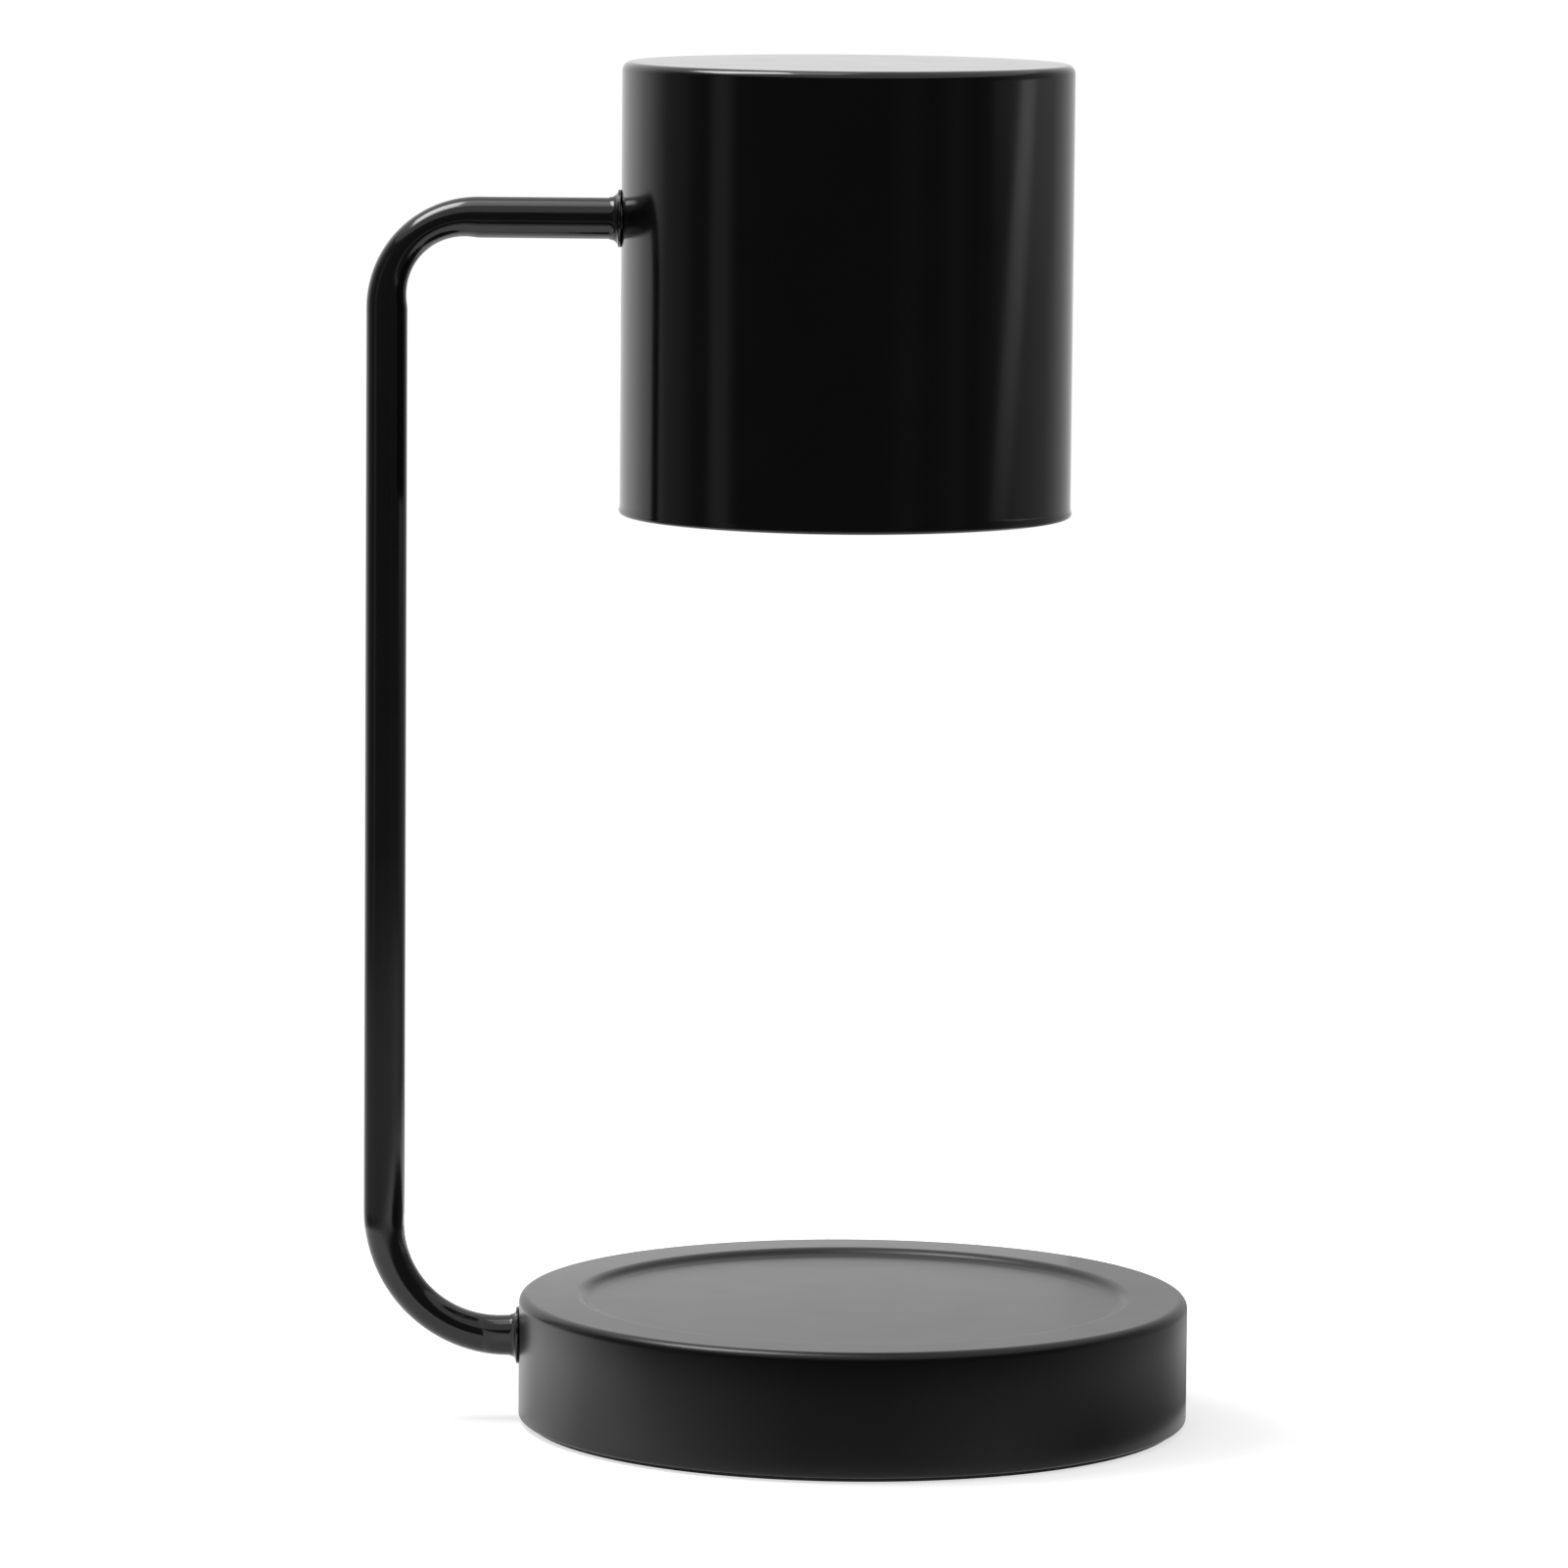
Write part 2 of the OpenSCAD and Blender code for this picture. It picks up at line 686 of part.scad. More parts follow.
module lamp_holder() {
    color(ceramic_white) difference() {
        translate([shade_x, 0, 0]) rotate_extrude() difference() {
            translate([0, holder_z]) square([holder_d / 2, holder_h]);
            translate([holder_d / 2 - 1, holder_z - eps]) difference() {
                square([1 + eps, 1 + eps]);
                translate([0, 1 + eps]) circle(r = 1);
            }
        }
        translate([shade_x, 0, 0]) {
            twist_sweep(pin_shank_d / 2 + pin_play, holder_z - over, holder_z + ledge_t + over);
            twist_sweep(pin_foot_d / 2 + 2 * pin_play, holder_z + ledge_t, chamber_top_z);
            for (side = [90, 270]) rotate([0, 0, side - twist_deg])
                bar_z(pin_r, 0, holder_z - over, holder_z + ledge_t + over,
                    pin_foot_d / 2 + pin_play + slip);
            for (side = [-1, 1])
                translate([-tab_w / 2 - slip, side > 0 ? tab_y - slip : -pin_r - 1.6, chamber_top_z - over])
                    cube([tab_w + 2 * slip, pin_r + 1.6 - tab_y + slip,
                        lead_z + tab_t / 2 + slip - chamber_top_z + over]);
        }
        for (side = [-1, 1])
            bar_x(shade_x - holder_d, tab_x + 0.5, side * lead_spread / 2, lead_z, wire_d / 2 + slip / 2);
        at_holder_screws() {
            bar_z(0, 0, holder_z - over, shelf_z + over, m3_d / 2 + 2 * slip);
            bar_z(0, 0, holder_z - over, holder_z + pocket_t, m3_nut_af / sqrt(3) + slip);
        }
    }
}

// Each contact hangs over a pin and has a tab that the lead is crimped to
module holder_contacts() {
    color(brass_gold) translate([shade_x, 0, 0]) for (side = [-1, 1]) {
        bar_z(0, side * pin_r, pin_top_z + loose, lead_z + tab_t / 2, 1.5);
        translate([-tab_w / 2, side > 0 ? tab_y : -pin_r, lead_z - tab_t / 2])
            cube([tab_w, pin_r - tab_y, tab_t]);
    }
}

module holder_screws() {
    seat_z = shelf_z + bracket_t;
    color(zinc_grey) at_holder_screws() difference() {
        union() {
            bar_z(0, 0, holder_z + pin_play, seat_z + eps, m3_d / 2 - thread_fit);
            bar_z(0, 0, seat_z, seat_z + m3_head_t, m3_head_d / 2);
        }
        translate([0, 0, seat_z + m3_head_t - slot_t]) cross_slot(3, 0.7, 2);
    }
}

module holder_nuts() {
    color(zinc_grey) at_holder_screws() difference() {
        translate([0, 0, holder_z + pocket_t - m3_nut_t])
            cylinder(r = m3_nut_af / sqrt(3), h = m3_nut_t, $fn = 6);
        bar_z(0, 0, holder_z, holder_z + pocket_t + over, m3_d / 2);
    }
}

// ------------------------------------------------------------------ bulb

module bulb_base() {
    slope_z = neck_z + skirt_t;
    waist_z = slope_z + skirt_slope_h;
    color(ceramic_white) translate([shade_x, 0, 0]) rotate_extrude() {
        rounded_profile(cap_d / 2, neck_z, bulb_top_z, 1);
        polygon([[0, neck_z], [skirt_r, neck_z], [skirt_r, slope_z], [cap_d / 2 - 0.5, waist_z], [0, waist_z]]);
    }
}

module bulb_pins() {
    color(zinc_grey) translate([shade_x, 0, 0]) for (side = [-1, 1]) translate([0, side * pin_r, 0]) {
        bar_z(0, 0, bulb_top_z, foot_z + eps, pin_shank_d / 2);
        bar_z(0, 0, foot_z, pin_top_z - pin_chamfer, pin_foot_d / 2);
        translate([0, 0, pin_top_z - pin_chamfer])
            cylinder(r1 = pin_foot_d / 2, r2 = pin_foot_d / 2 - pin_chamfer, h = pin_chamfer);
    }
}

// Half section of the reflector's bowl out to an arc of radius r
module bowl_profile(r) {
    intersection() {
        translate([cup_r - arc_r, bulb_rim_z]) circle(r = r, $fn = 256);
        translate([0, bulb_rim_z]) square([bulb_d, cup_h]);
    }
}

module bulb_reflector() {
    color(glass_clear) translate([shade_x, 0, 0]) rotate_extrude() {
        difference() {
            bowl_profile(arc_r);
            bowl_profile(arc_r - glass_t);
        }
        difference() {
            translate([0, bulb_front_z]) square([bulb_d / 2, bulb_rim_t]);
            translate([-eps, bulb_front_z + lens_t]) square([cup_r - glass_t + eps, bulb_rim_t]);
            translate([-eps, bulb_front_z - eps]) square([lens_r + slip + eps, lens_t + 2 * eps]);
        }
    }
}

module bulb_lens() {
    color(glass_clear) translate([shade_x, 0, bulb_front_z]) cylinder(r = lens_r, h = lens_t);
}

module bulb_capsule() {
    color(glass_clear) translate([shade_x, 0, 0]) difference() {
        union() {
            bar_z(0, 0, tip_z, neck_z, capsule_r);
            translate([0, 0, tip_z]) sphere(r = capsule_r);
        }
        bar_z(0, 0, tip_z, neck_z - pinch_l, capsule_r - capsule_t);
        translate([0, 0, tip_z]) sphere(r = capsule_r - capsule_t);
    }
}

// Coiled filament, standing on two support wires
module bulb_filament() {
    coil_l = 6;
    post_x = 1.8;
    post_r = 0.3;
    arm_r = 0.2;
    color(zinc_grey) translate([shade_x, 0, 0]) {
        bar_z(0, 0, tip_z, tip_z + coil_l, 0.7);
        bar_z(-post_x, 0, tip_z, neck_z - pinch_l, post_r);
        bar_z(post_x, 0, tip_z + coil_l - 1, neck_z - pinch_l, post_r);
        bar_x(-post_x, 0, 0, tip_z + 0.5, arm_r);
        bar_x(0, post_x, 0, tip_z + coil_l - 0.5, arm_r);
    }
}

base_shell();
base_weight();
bottom_plate();
foot_pad();
base_screws();
cord_grommet();
terminal_block();
terminal_barrels();
terminal_screws();
block_screw();
pole_tube();
pole_collar_base();
pole_washer_base();
pole_nut_base();
tube_bush_base();
pole_collar_top();
pole_washer_top();
pole_nut_top();
tube_bush_top();
wire_live();
wire_neutral();
shade_shell();
holder_bracket();
holder_screws();
holder_nuts();
lamp_holder();
holder_contacts();
bulb_base();
bulb_pins();
bulb_reflector();
bulb_lens();
bulb_capsule();
bulb_filament();
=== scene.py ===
# %% [markdown]
# # A candle warmer lamp, dressed for its portrait
# The lamp is a pressed steel base with a cast weight inside, a bent steel tube, and
# a deep drawn shade that hangs a reflector bulb over the candle. All of it was
# modelled at its real size beforehand, as named pieces on two bodies: the frame,
# and the bulb that turns in its holder. This script loads those pieces, gives
# every one its finish, and remakes the few whose looks need more than plain
# solids: the two pressed shells, the ferrules, the bent tube, the bulb's faceted
# mirror and its coiled filament.

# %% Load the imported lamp
import math

import bpy
import bmesh
from mathutils import Matrix, Vector


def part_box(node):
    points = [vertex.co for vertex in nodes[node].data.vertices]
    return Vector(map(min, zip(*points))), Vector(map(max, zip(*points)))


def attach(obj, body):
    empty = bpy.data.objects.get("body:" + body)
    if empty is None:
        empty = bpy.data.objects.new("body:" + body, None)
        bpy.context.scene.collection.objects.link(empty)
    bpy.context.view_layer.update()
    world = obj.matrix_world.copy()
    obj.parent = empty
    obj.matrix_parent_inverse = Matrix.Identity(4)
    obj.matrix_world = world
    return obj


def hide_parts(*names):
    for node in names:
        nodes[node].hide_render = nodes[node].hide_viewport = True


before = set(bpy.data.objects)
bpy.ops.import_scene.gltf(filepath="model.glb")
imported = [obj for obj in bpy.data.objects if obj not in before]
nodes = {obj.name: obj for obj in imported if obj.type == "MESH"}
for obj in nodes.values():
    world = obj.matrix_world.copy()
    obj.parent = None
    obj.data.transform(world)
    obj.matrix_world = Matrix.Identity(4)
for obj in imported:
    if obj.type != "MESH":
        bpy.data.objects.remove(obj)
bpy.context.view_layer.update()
MM = 0.001

# %% [markdown]
# ## The measures that everything else uses
# A piece that is remade has to sit exactly where the solid was, so its place is
# read from the solids' boxes and never typed in. Two numbers say what a box can't
# tell: how far the bead stands out from the shade's wall, and how thick the flange
# is that each bush lays over the end of the tube.

# %% Read places off the solids
BEAD_OUT = 0.35 * MM
BUSH_FLANGE = 1.0 * MM

base_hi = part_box("base_shell")[1]
shade_lo, shade_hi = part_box("shade_shell")
weight_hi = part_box("base_weight")[1]
grommet_lo, grommet_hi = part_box("cord_grommet")
pole_lo, pole_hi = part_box("pole_tube")
low_collar_lo, low_collar_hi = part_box("pole_collar_base")
top_collar_lo, top_collar_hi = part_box("pole_collar_top")
top_bush_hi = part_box("tube_bush_top")[1]
low_bush_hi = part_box("tube_bush_base")[1]
reflector_lo, reflector_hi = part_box("bulb_reflector")
filament_lo, filament_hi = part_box("bulb_filament")

base_r = base_hi.x
rim_z = base_hi.z
shade_x = (shade_lo.x + shade_hi.x) / 2
shade_r = (shade_hi.x - shade_lo.x) / 2 - BEAD_OUT
tube_r = pole_hi.y
pole_x = pole_lo.x + tube_r
low_arm_z = (low_collar_lo.z + low_collar_hi.z) / 2
top_arm_z = (top_collar_lo.z + top_collar_hi.z) / 2
low_shoulder_x = low_collar_lo.x
top_shoulder_x = top_collar_lo.x
low_end_x = low_bush_hi.x - BUSH_FLANGE
top_end_x = top_bush_hi.x - BUSH_FLANGE
print("tube radius", round(tube_r / MM, 2), "pole at", round(pole_x / MM, 2),
      "arms at", round(low_arm_z / MM, 2), round(top_arm_z / MM, 2),
      "tube ends at", round(low_end_x / MM, 2), round(top_end_x / MM, 2))

# %% [markdown]
# ## The camera
# The picture was taken with a long lens from a little above the shade, so the
# shade's top is a thin sliver and the base's top a wider ellipse. The distance,
# height, pitch and lens below were solved from the outlines of the lamp's rings.
# The picture's frame is square, and the camera looks at it without any lens shift.

# %% Stand the camera
SENSOR = 36.0
FRAME_PX = 1601
FOCAL_PX = 9243.4
camera_spot = Vector((-16.453, -2004.9, 381.5)) * MM
camera_pitch = 0.1181
camera_roll = 0.0083


def put(name, data):
    """A new object in the scene, with the given data."""
    thing = bpy.data.objects.new(name, data)
    bpy.context.scene.collection.objects.link(thing)
    return thing


camera_data = bpy.data.cameras.new("camera")
camera_data.sensor_width = SENSOR
camera_data.lens = FOCAL_PX / FRAME_PX * SENSOR
camera_data.clip_start = 0.1
camera_data.clip_end = 50.0
camera = put("camera", camera_data)
camera.matrix_world = (Matrix.Translation(camera_spot)
                       @ Matrix.Rotation(math.pi / 2 - camera_pitch, 4, "X")
                       @ Matrix.Rotation(camera_roll, 4, "Z"))
bpy.context.scene.camera = camera
bpy.context.scene.view_settings.view_transform = "Standard"
print("lens in mm:", round(camera_data.lens, 2))

# %% [markdown]
# ## A helper for every node tree
# Materials, the world and Geometry Nodes are all trees of nodes, so one helper
# serves them all. It adds a node, sets its options, and fills its inputs, each with
# a plain value, with another node's socket, or with a list of sockets where an
# input takes many.

# %% Add a node
def fill(tree, node, inputs):
    """Fills a node's inputs, by name or number, each with a value, a socket or a list of sockets."""
    for key, value in inputs.items():
        if isinstance(value, (bpy.types.NodeSocket, list)):
            for source in (value if isinstance(value, list) else [value]):
                tree.links.new(source, node.inputs[key])
        else:
            node.inputs[key].default_value = value


def step(tree, kind, inputs=None, **settings):
    """Adds a node, sets its options and fills its inputs."""
    node = tree.nodes.new(kind)
    for name, value in settings.items():
        setattr(node, name, value)
    fill(tree, node, inputs or {})
    return node


def maths(tree, operation, a, b=0.0):
    """One Math node."""
    return step(tree, "ShaderNodeMath", {0: a, 1: b}, operation=operation).outputs["Value"]


# %% [markdown]
# ## Small helpers for materials
# A finish is a Principled shader with a few texture nodes in front of it, so one
# helper makes a material and sets the shader's own sockets. The floor and the cards
# of the studio need other shaders, so theirs start from an empty tree.

# %% Make a material
def new_finish(name, **settings):
    """A material whose Principled sockets are set by name. Returns (material, tree, shader)."""
    material = bpy.data.materials.new(name)
    material.use_nodes = True
    shader = material.node_tree.nodes["Principled BSDF"]
    for socket, value in settings.items():
        shader.inputs[socket.replace("_", " ")].default_value = value
    return material, material.node_tree, shader


def bare_finish(name):
    """A material with an empty tree. Returns (material, tree)."""
    material = bpy.data.materials.new(name)
    material.use_nodes = True
    material.node_tree.nodes.clear()
    return material, material.node_tree


# %% [markdown]
# Every texture lies on Object coordinates, so it moves with its piece. One helper
# adds a noise, one maps a value onto a range, one mixes two colours, and one turns
# a height into a bump.

# %% Textures
def place(tree):
    """Object coordinates."""
    return step(tree, "ShaderNodeTexCoord").outputs["Object"]


def noise(tree, where, size_mm, detail=2.0):
    """Noise whose blotches are about size_mm across."""
    return step(tree, "ShaderNodeTexNoise",
                {"Vector": where, "Scale": 1.0 / (size_mm * MM), "Detail": detail}).outputs["Fac"]


def spread(tree, value, low, high, from_low=0.3, from_high=0.7):
    """Maps a value onto the range low to high. Most of a noise lies between 0.3 and 0.7."""
    return step(tree, "ShaderNodeMapRange", {
        "Value": value, "From Min": from_low, "From Max": from_high,
        "To Min": low, "To Max": high}).outputs["Result"]


def tint(tree, factor, colour_a, colour_b):
    """A colour between two, by a factor."""
    return step(tree, "ShaderNodeMix", {"Factor": factor, "A": (*colour_a, 1), "B": (*colour_b, 1)},
                data_type="RGBA").outputs["Result"]


def bump(tree, height, depth_mm):
    """A bump of a given depth."""
    return step(tree, "ShaderNodeBump",
                {"Height": height, "Distance": depth_mm * MM, "Strength": 1.0}).outputs["Normal"]


# %% [markdown]
# Most surfaces share one recipe: colour and gloss drift together in clouds, over a
# fine grain that stands out as a bump.

# %% The recipe that most surfaces share
def wear(tree, shader, colour, roughness, normal):
    """Joins a recipe's colour, roughness and bump to its shader."""
    fill(tree, shader, {"Base Color": colour, "Roughness": roughness, "Normal": normal})


def cloudy(name, colours, roughs, cloud, grain, depth_mm, **settings):
    """Clouds over a fine grain. cloud and grain are each a size in mm and a level of detail."""
    material, tree, shader = new_finish(name, **settings)
    where = place(tree)
    clouds = noise(tree, where, *cloud)
    wear(tree, shader, tint(tree, clouds, *colours), spread(tree, clouds, *roughs),
         bump(tree, noise(tree, where, *grain), depth_mm))
    return material


# %% [markdown]
# ## Gloss black powder coat
# The base, tube, ferrules and shade are sprayed with black powder and baked. The
# coat levels out almost like lacquer but keeps a very shallow orange peel a couple
# of millimetres across, and its gloss is a little uneven. That is why long
# reflections on the shade have soft, slightly wandering edges. The base has a more
# satin coat than the shade, so it gets its own version with a rougher surface. The
# tube and ferrules get a copy whose colour is about three times lighter: a painted
# sheen, grey put into the colour to stand in for the reflections on the tube.

# %% Black coats
COAT_DRIFT_MM = 14.0
COAT_DEEP = (1.0, 1.0, 1.1)
COAT_FADED = (1.6, 1.6, 1.7)


def black_coat(name, tone, rough_low, rough_high, peel_mm, peel_depth, ior):
    """Powder coat: tone is how black it is, and peel_mm how wide the orange peel's dimples are."""
    colours = [[share * tone for share in shares] for shares in (COAT_DEEP, COAT_FADED)]
    return cloudy(name, colours, (rough_low, rough_high),
                  (COAT_DRIFT_MM, 3.0), (peel_mm, 2.0), peel_depth, IOR=ior)


shade_coat = black_coat("black_coat_gloss", 0.0011, 0.112, 0.135, 2.6, 0.0015, 1.45)
base_coat = black_coat("black_coat_satin", 0.0011, 0.297, 0.312, 1.8, 0.0008, 1.38)
# Painted sheen: the same coat as the shade's, but lighter in colour, for the tube and the ferrules.
tube_coat_painted_lighter = black_coat("black_coat_tube_painted_lighter", 0.0032, 0.11, 0.14, 2.2, 0.001, 1.45)
print("coats:", shade_coat.name, base_coat.name, tube_coat_painted_lighter.name)

# %% [markdown]
# ## The metals
# Zinc-plated hardware is bright but cloudy, with a faint bluish cast. The weight
# is a rough grey casting, brass is warm and slightly dull, and the filament and
# its posts are drawn wire. Each is a metallic Principled shader with cloudy
# roughness, and a bump at the scale of the real surface.

# %% Metals
def cloudy_metal(name, colour_a, colour_b, rough_low, rough_high, cloud_mm, grain_mm, grain_depth):
    """Bare or plated metal."""
    return cloudy(name, (colour_a, colour_b), (rough_low, rough_high),
                  (cloud_mm, 4.0), (grain_mm, 3.0), grain_depth, Metallic=1.0)


zinc = cloudy_metal("zinc_plate", (0.60, 0.62, 0.66), (0.72, 0.73, 0.74), 0.22, 0.38, 6.0, 0.5, 0.01)
pin_plate = cloudy_metal("nickel_pins", (0.66, 0.65, 0.62), (0.78, 0.77, 0.75), 0.16, 0.26, 2.0, 0.4, 0.006)
brass = cloudy_metal("turned_brass", (0.66, 0.47, 0.20), (0.78, 0.60, 0.30), 0.20, 0.34, 3.0, 0.4, 0.008)
tungsten = cloudy_metal("drawn_wire", (0.30, 0.30, 0.31), (0.42, 0.42, 0.43), 0.30, 0.42, 1.0, 0.2, 0.004)
casting = cloudy_metal("grey_casting", (0.10, 0.10, 0.105), (0.17, 0.17, 0.17), 0.55, 0.75, 5.0, 1.2, 0.08)
print("metals:", zinc.name, pin_plate.name, brass.name, tungsten.name, casting.name)

# %% [markdown]
# ## Ceramic, plastics, rubber and foam
# The lamp holder and the bulb's cap are unglazed white ceramic with fine pores.
# The terminal block is milky nylon. The grommet and the bushes are black moulded
# parts, and the pad under the base is closed-cell foam, whose skin shows small
# round cells, so its bump comes from a Voronoi texture and not from noise.

# %% Ceramic, plastics, rubber and foam
MOULD_DRIFT_MM = 9.0
FOAM_DRIFT_MM = 12.0
FOAM_CELL_MM = 0.7
FOAM_CELL_DEPTH_MM = 0.15
FOAM_TONES = ((0.022, 0.022, 0.023), (0.040, 0.040, 0.041))
FOAM_ROUGHS = (0.75, 0.92)


def plain_mould(name, colour_a, colour_b, rough_low, rough_high, grain_mm, grain_depth, **settings):
    """A moulded or fired piece."""
    return cloudy(name, (colour_a, colour_b), (rough_low, rough_high),
                  (MOULD_DRIFT_MM, 3.0), (grain_mm, 4.0), grain_depth, **settings)


def foam_skin(name):
    """Closed-cell foam: round cells under a thin skin."""
    material, tree, shader = new_finish(name, IOR=1.4)
    where = place(tree)
    cells = step(tree, "ShaderNodeTexVoronoi", {"Vector": where, "Scale": 1.0 / (FOAM_CELL_MM * MM)})
    drift = noise(tree, where, FOAM_DRIFT_MM)
    wear(tree, shader, tint(tree, drift, *FOAM_TONES), spread(tree, drift, *FOAM_ROUGHS),
         bump(tree, cells.outputs["Distance"], FOAM_CELL_DEPTH_MM))
    return material


ceramic = plain_mould("unglazed_ceramic", (0.80, 0.78, 0.72), (0.88, 0.86, 0.81), 0.55, 0.75, 0.5, 0.03)
nylon = plain_mould("milky_nylon", (0.74, 0.74, 0.71), (0.82, 0.82, 0.79), 0.34, 0.46, 0.8, 0.01,
                    Subsurface_Weight=0.15, Subsurface_Scale=0.003)
bush_plastic = plain_mould("black_nylon", (0.016, 0.016, 0.017), (0.028, 0.028, 0.029), 0.35, 0.5, 0.6, 0.01)
rubber = plain_mould("black_rubber", (0.014, 0.014, 0.014), (0.024, 0.024, 0.024), 0.55, 0.72, 0.4, 0.02)
foam = foam_skin("closed_cell_foam")
print("mouldings:", ceramic.name, nylon.name, bush_plastic.name, rubber.name, foam.name)

# %% [markdown]
# ## Leads with a braided sleeve
# Inside a hot shade the leads wear a heat-proof braid over their insulation. The
# braid is far too fine to model, so two crossed sine waves make its diamonds as a
# bump, over a brown or a blue base.

# %% Lead sleeves
BRAID_SLANT = 0.8
BRAID_WAVE_MM = 2.4
BRAID_DEPTH_MM = 0.06
SLEEVE_DRIFT_MM = 5.0
SLEEVE_ROUGHS = (0.55, 0.75)


def braided_sleeve(name, colour_a, colour_b):
    """Fine braid: two sets of slanted threads that cross."""
    material, tree, shader = new_finish(name)
    where = place(tree)
    threads = []
    for slant in (BRAID_SLANT, -BRAID_SLANT):
        turn = step(tree, "ShaderNodeMapping", {"Vector": where, "Rotation": (slant, slant, slant)})
        wave = step(tree, "ShaderNodeTexWave",
                    {"Vector": turn.outputs["Vector"], "Scale": 1.0 / (BRAID_WAVE_MM * MM)})
        threads.append(wave.outputs["Fac"])
    woven = maths(tree, "MAXIMUM", *threads)
    drift = noise(tree, where, SLEEVE_DRIFT_MM)
    wear(tree, shader, tint(tree, woven, colour_a, colour_b), spread(tree, drift, *SLEEVE_ROUGHS),
         bump(tree, woven, BRAID_DEPTH_MM))
    return material


brown_sleeve = braided_sleeve("brown_sleeve", (0.070, 0.026, 0.012), (0.16, 0.07, 0.035))
blue_sleeve = braided_sleeve("blue_sleeve", (0.012, 0.045, 0.22), (0.03, 0.10, 0.38))
print("sleeves:", brown_sleeve.name, blue_sleeve.name)

# %% [markdown]
# ## Glass and mirror
# The front lens and the quartz capsule are clear. The reflector is pressed glass
# with a silvery layer on its inner face, so from below it is a dish of bright
# facets, and from behind a dim, slightly violet shell.

# %% Glass and mirror
GLASS_RIPPLE_MM = 7.0
GLASS_RIPPLE_DEPTH_MM = 0.01
GLASS_HAZE = 0.03


def clear_glass(name, rough):
    """Clear pressed glass with a faint ripple."""
    material, tree, shader = new_finish(
        name, Transmission_Weight=1.0, IOR=1.47, Base_Color=(0.97, 0.985, 0.98, 1))
    ripple = noise(tree, place(tree), GLASS_RIPPLE_MM)
    fill(tree, shader, {"Roughness": spread(tree, ripple, rough, rough + GLASS_HAZE),
                        "Normal": bump(tree, ripple, GLASS_RIPPLE_DEPTH_MM)})
    return material


glass = clear_glass("clear_glass", 0.02)
mirror = cloudy_metal("mirror_layer", (0.76, 0.78, 0.82), (0.84, 0.85, 0.86), 0.05, 0.12, 8.0, 2.0, 0.002)
mirror_back = cloudy_metal("mirror_back", (0.22, 0.20, 0.27), (0.30, 0.28, 0.36), 0.10, 0.20, 6.0, 1.0, 0.003)
print("glass and mirror:", glass.name, mirror.name, mirror_back.name)

# %% [markdown]
# ## Dress the solids
# A solid keeps its shape and only gets its finish. Its faces already point the
# right way, so nothing but the material slot is touched.

# %% Give each solid its finish
finish_of = {
    "base_weight": casting, "bottom_plate": zinc, "foot_pad": foam,
    "base_screws": zinc, "cord_grommet": rubber, "terminal_block": nylon,
    "terminal_barrels": brass, "terminal_screws": zinc, "block_screw": zinc,
    "pole_washer_base": zinc, "pole_nut_base": zinc, "tube_bush_base": bush_plastic,
    "pole_washer_top": zinc, "pole_nut_top": zinc, "tube_bush_top": bush_plastic,
    "wire_live": brown_sleeve, "wire_neutral": blue_sleeve,
    "holder_bracket": zinc, "holder_screws": zinc, "holder_nuts": zinc,
    "lamp_holder": ceramic, "holder_contacts": brass, "bulb_base": ceramic,
    "bulb_pins": pin_plate, "bulb_lens": glass, "bulb_capsule": glass,
}


def dress(node, material):
    """Puts one finish on a solid."""
    mesh = nodes[node].data
    mesh.materials.clear()
    mesh.materials.append(material)


for node, material in finish_of.items():
    dress(node, material)
print("solids to remake:", sorted(set(nodes) - set(finish_of)))

# %% [markdown]
# ## The base and the shade, turned from their outlines
# Both shells are round sheet-metal pieces: a disc is pressed over a die, and its
# edge is turned in. A lathe-like turn of half an outline is the plainest way to
# make them, and fine rings keep their long reflections clean. An outline here is a
# list of points as (distance from the axis, height), in millimetres. Straight
# stretches get a point close to each end, so that the smooth shading of a small
# round corner doesn't bleed into the flat beside it.

# %% Draw an outline
CRISP = 0.25


def arc(centre_r, centre_z, radius, start, end, steps=10):
    """Points of an arc. Angles are in degrees, 0 points away from the axis and 90 up."""
    return [(centre_r + radius * math.cos(math.radians(start + (end - start) * i / steps)),
             centre_z + radius * math.sin(math.radians(start + (end - start) * i / steps)))
            for i in range(steps + 1)]


def crisp(outline, closed):
    """The outline with two more points on each long straight, close to its ends."""
    ends = outline[1:] + (outline[:1] if closed else [])
    result = []
    for (r0, z0), (r1, z1) in zip(outline, ends):
        result.append((r0, z0))
        length = math.hypot(r1 - r0, z1 - z0)
        if length > 4 * CRISP:
            for share in (CRISP / length, 1 - CRISP / length):
                result.append((r0 + (r1 - r0) * share, z0 + (z1 - z0) * share))
    return result if closed else result + outline[-1:]


# %% [markdown]
# The outline becomes a row of points at each step of a full turn, and neighbouring
# rows are joined by faces. The points on the axis fall together and are merged,
# which closes both poles. A turned skin can come out inside out, so its faces are
# then made to look outwards, and all but the sharp edges are shaded smooth.

# %% Turn an outline
TURN_STEPS = 256
MERGE = 0.001 * MM
SHARP_DEG = 40


def built(name, build):
    """Makes an object of a mesh that was built, and frees the build."""
    mesh = bpy.data.meshes.new(name)
    build.to_mesh(mesh)
    build.free()
    return put(name, mesh)


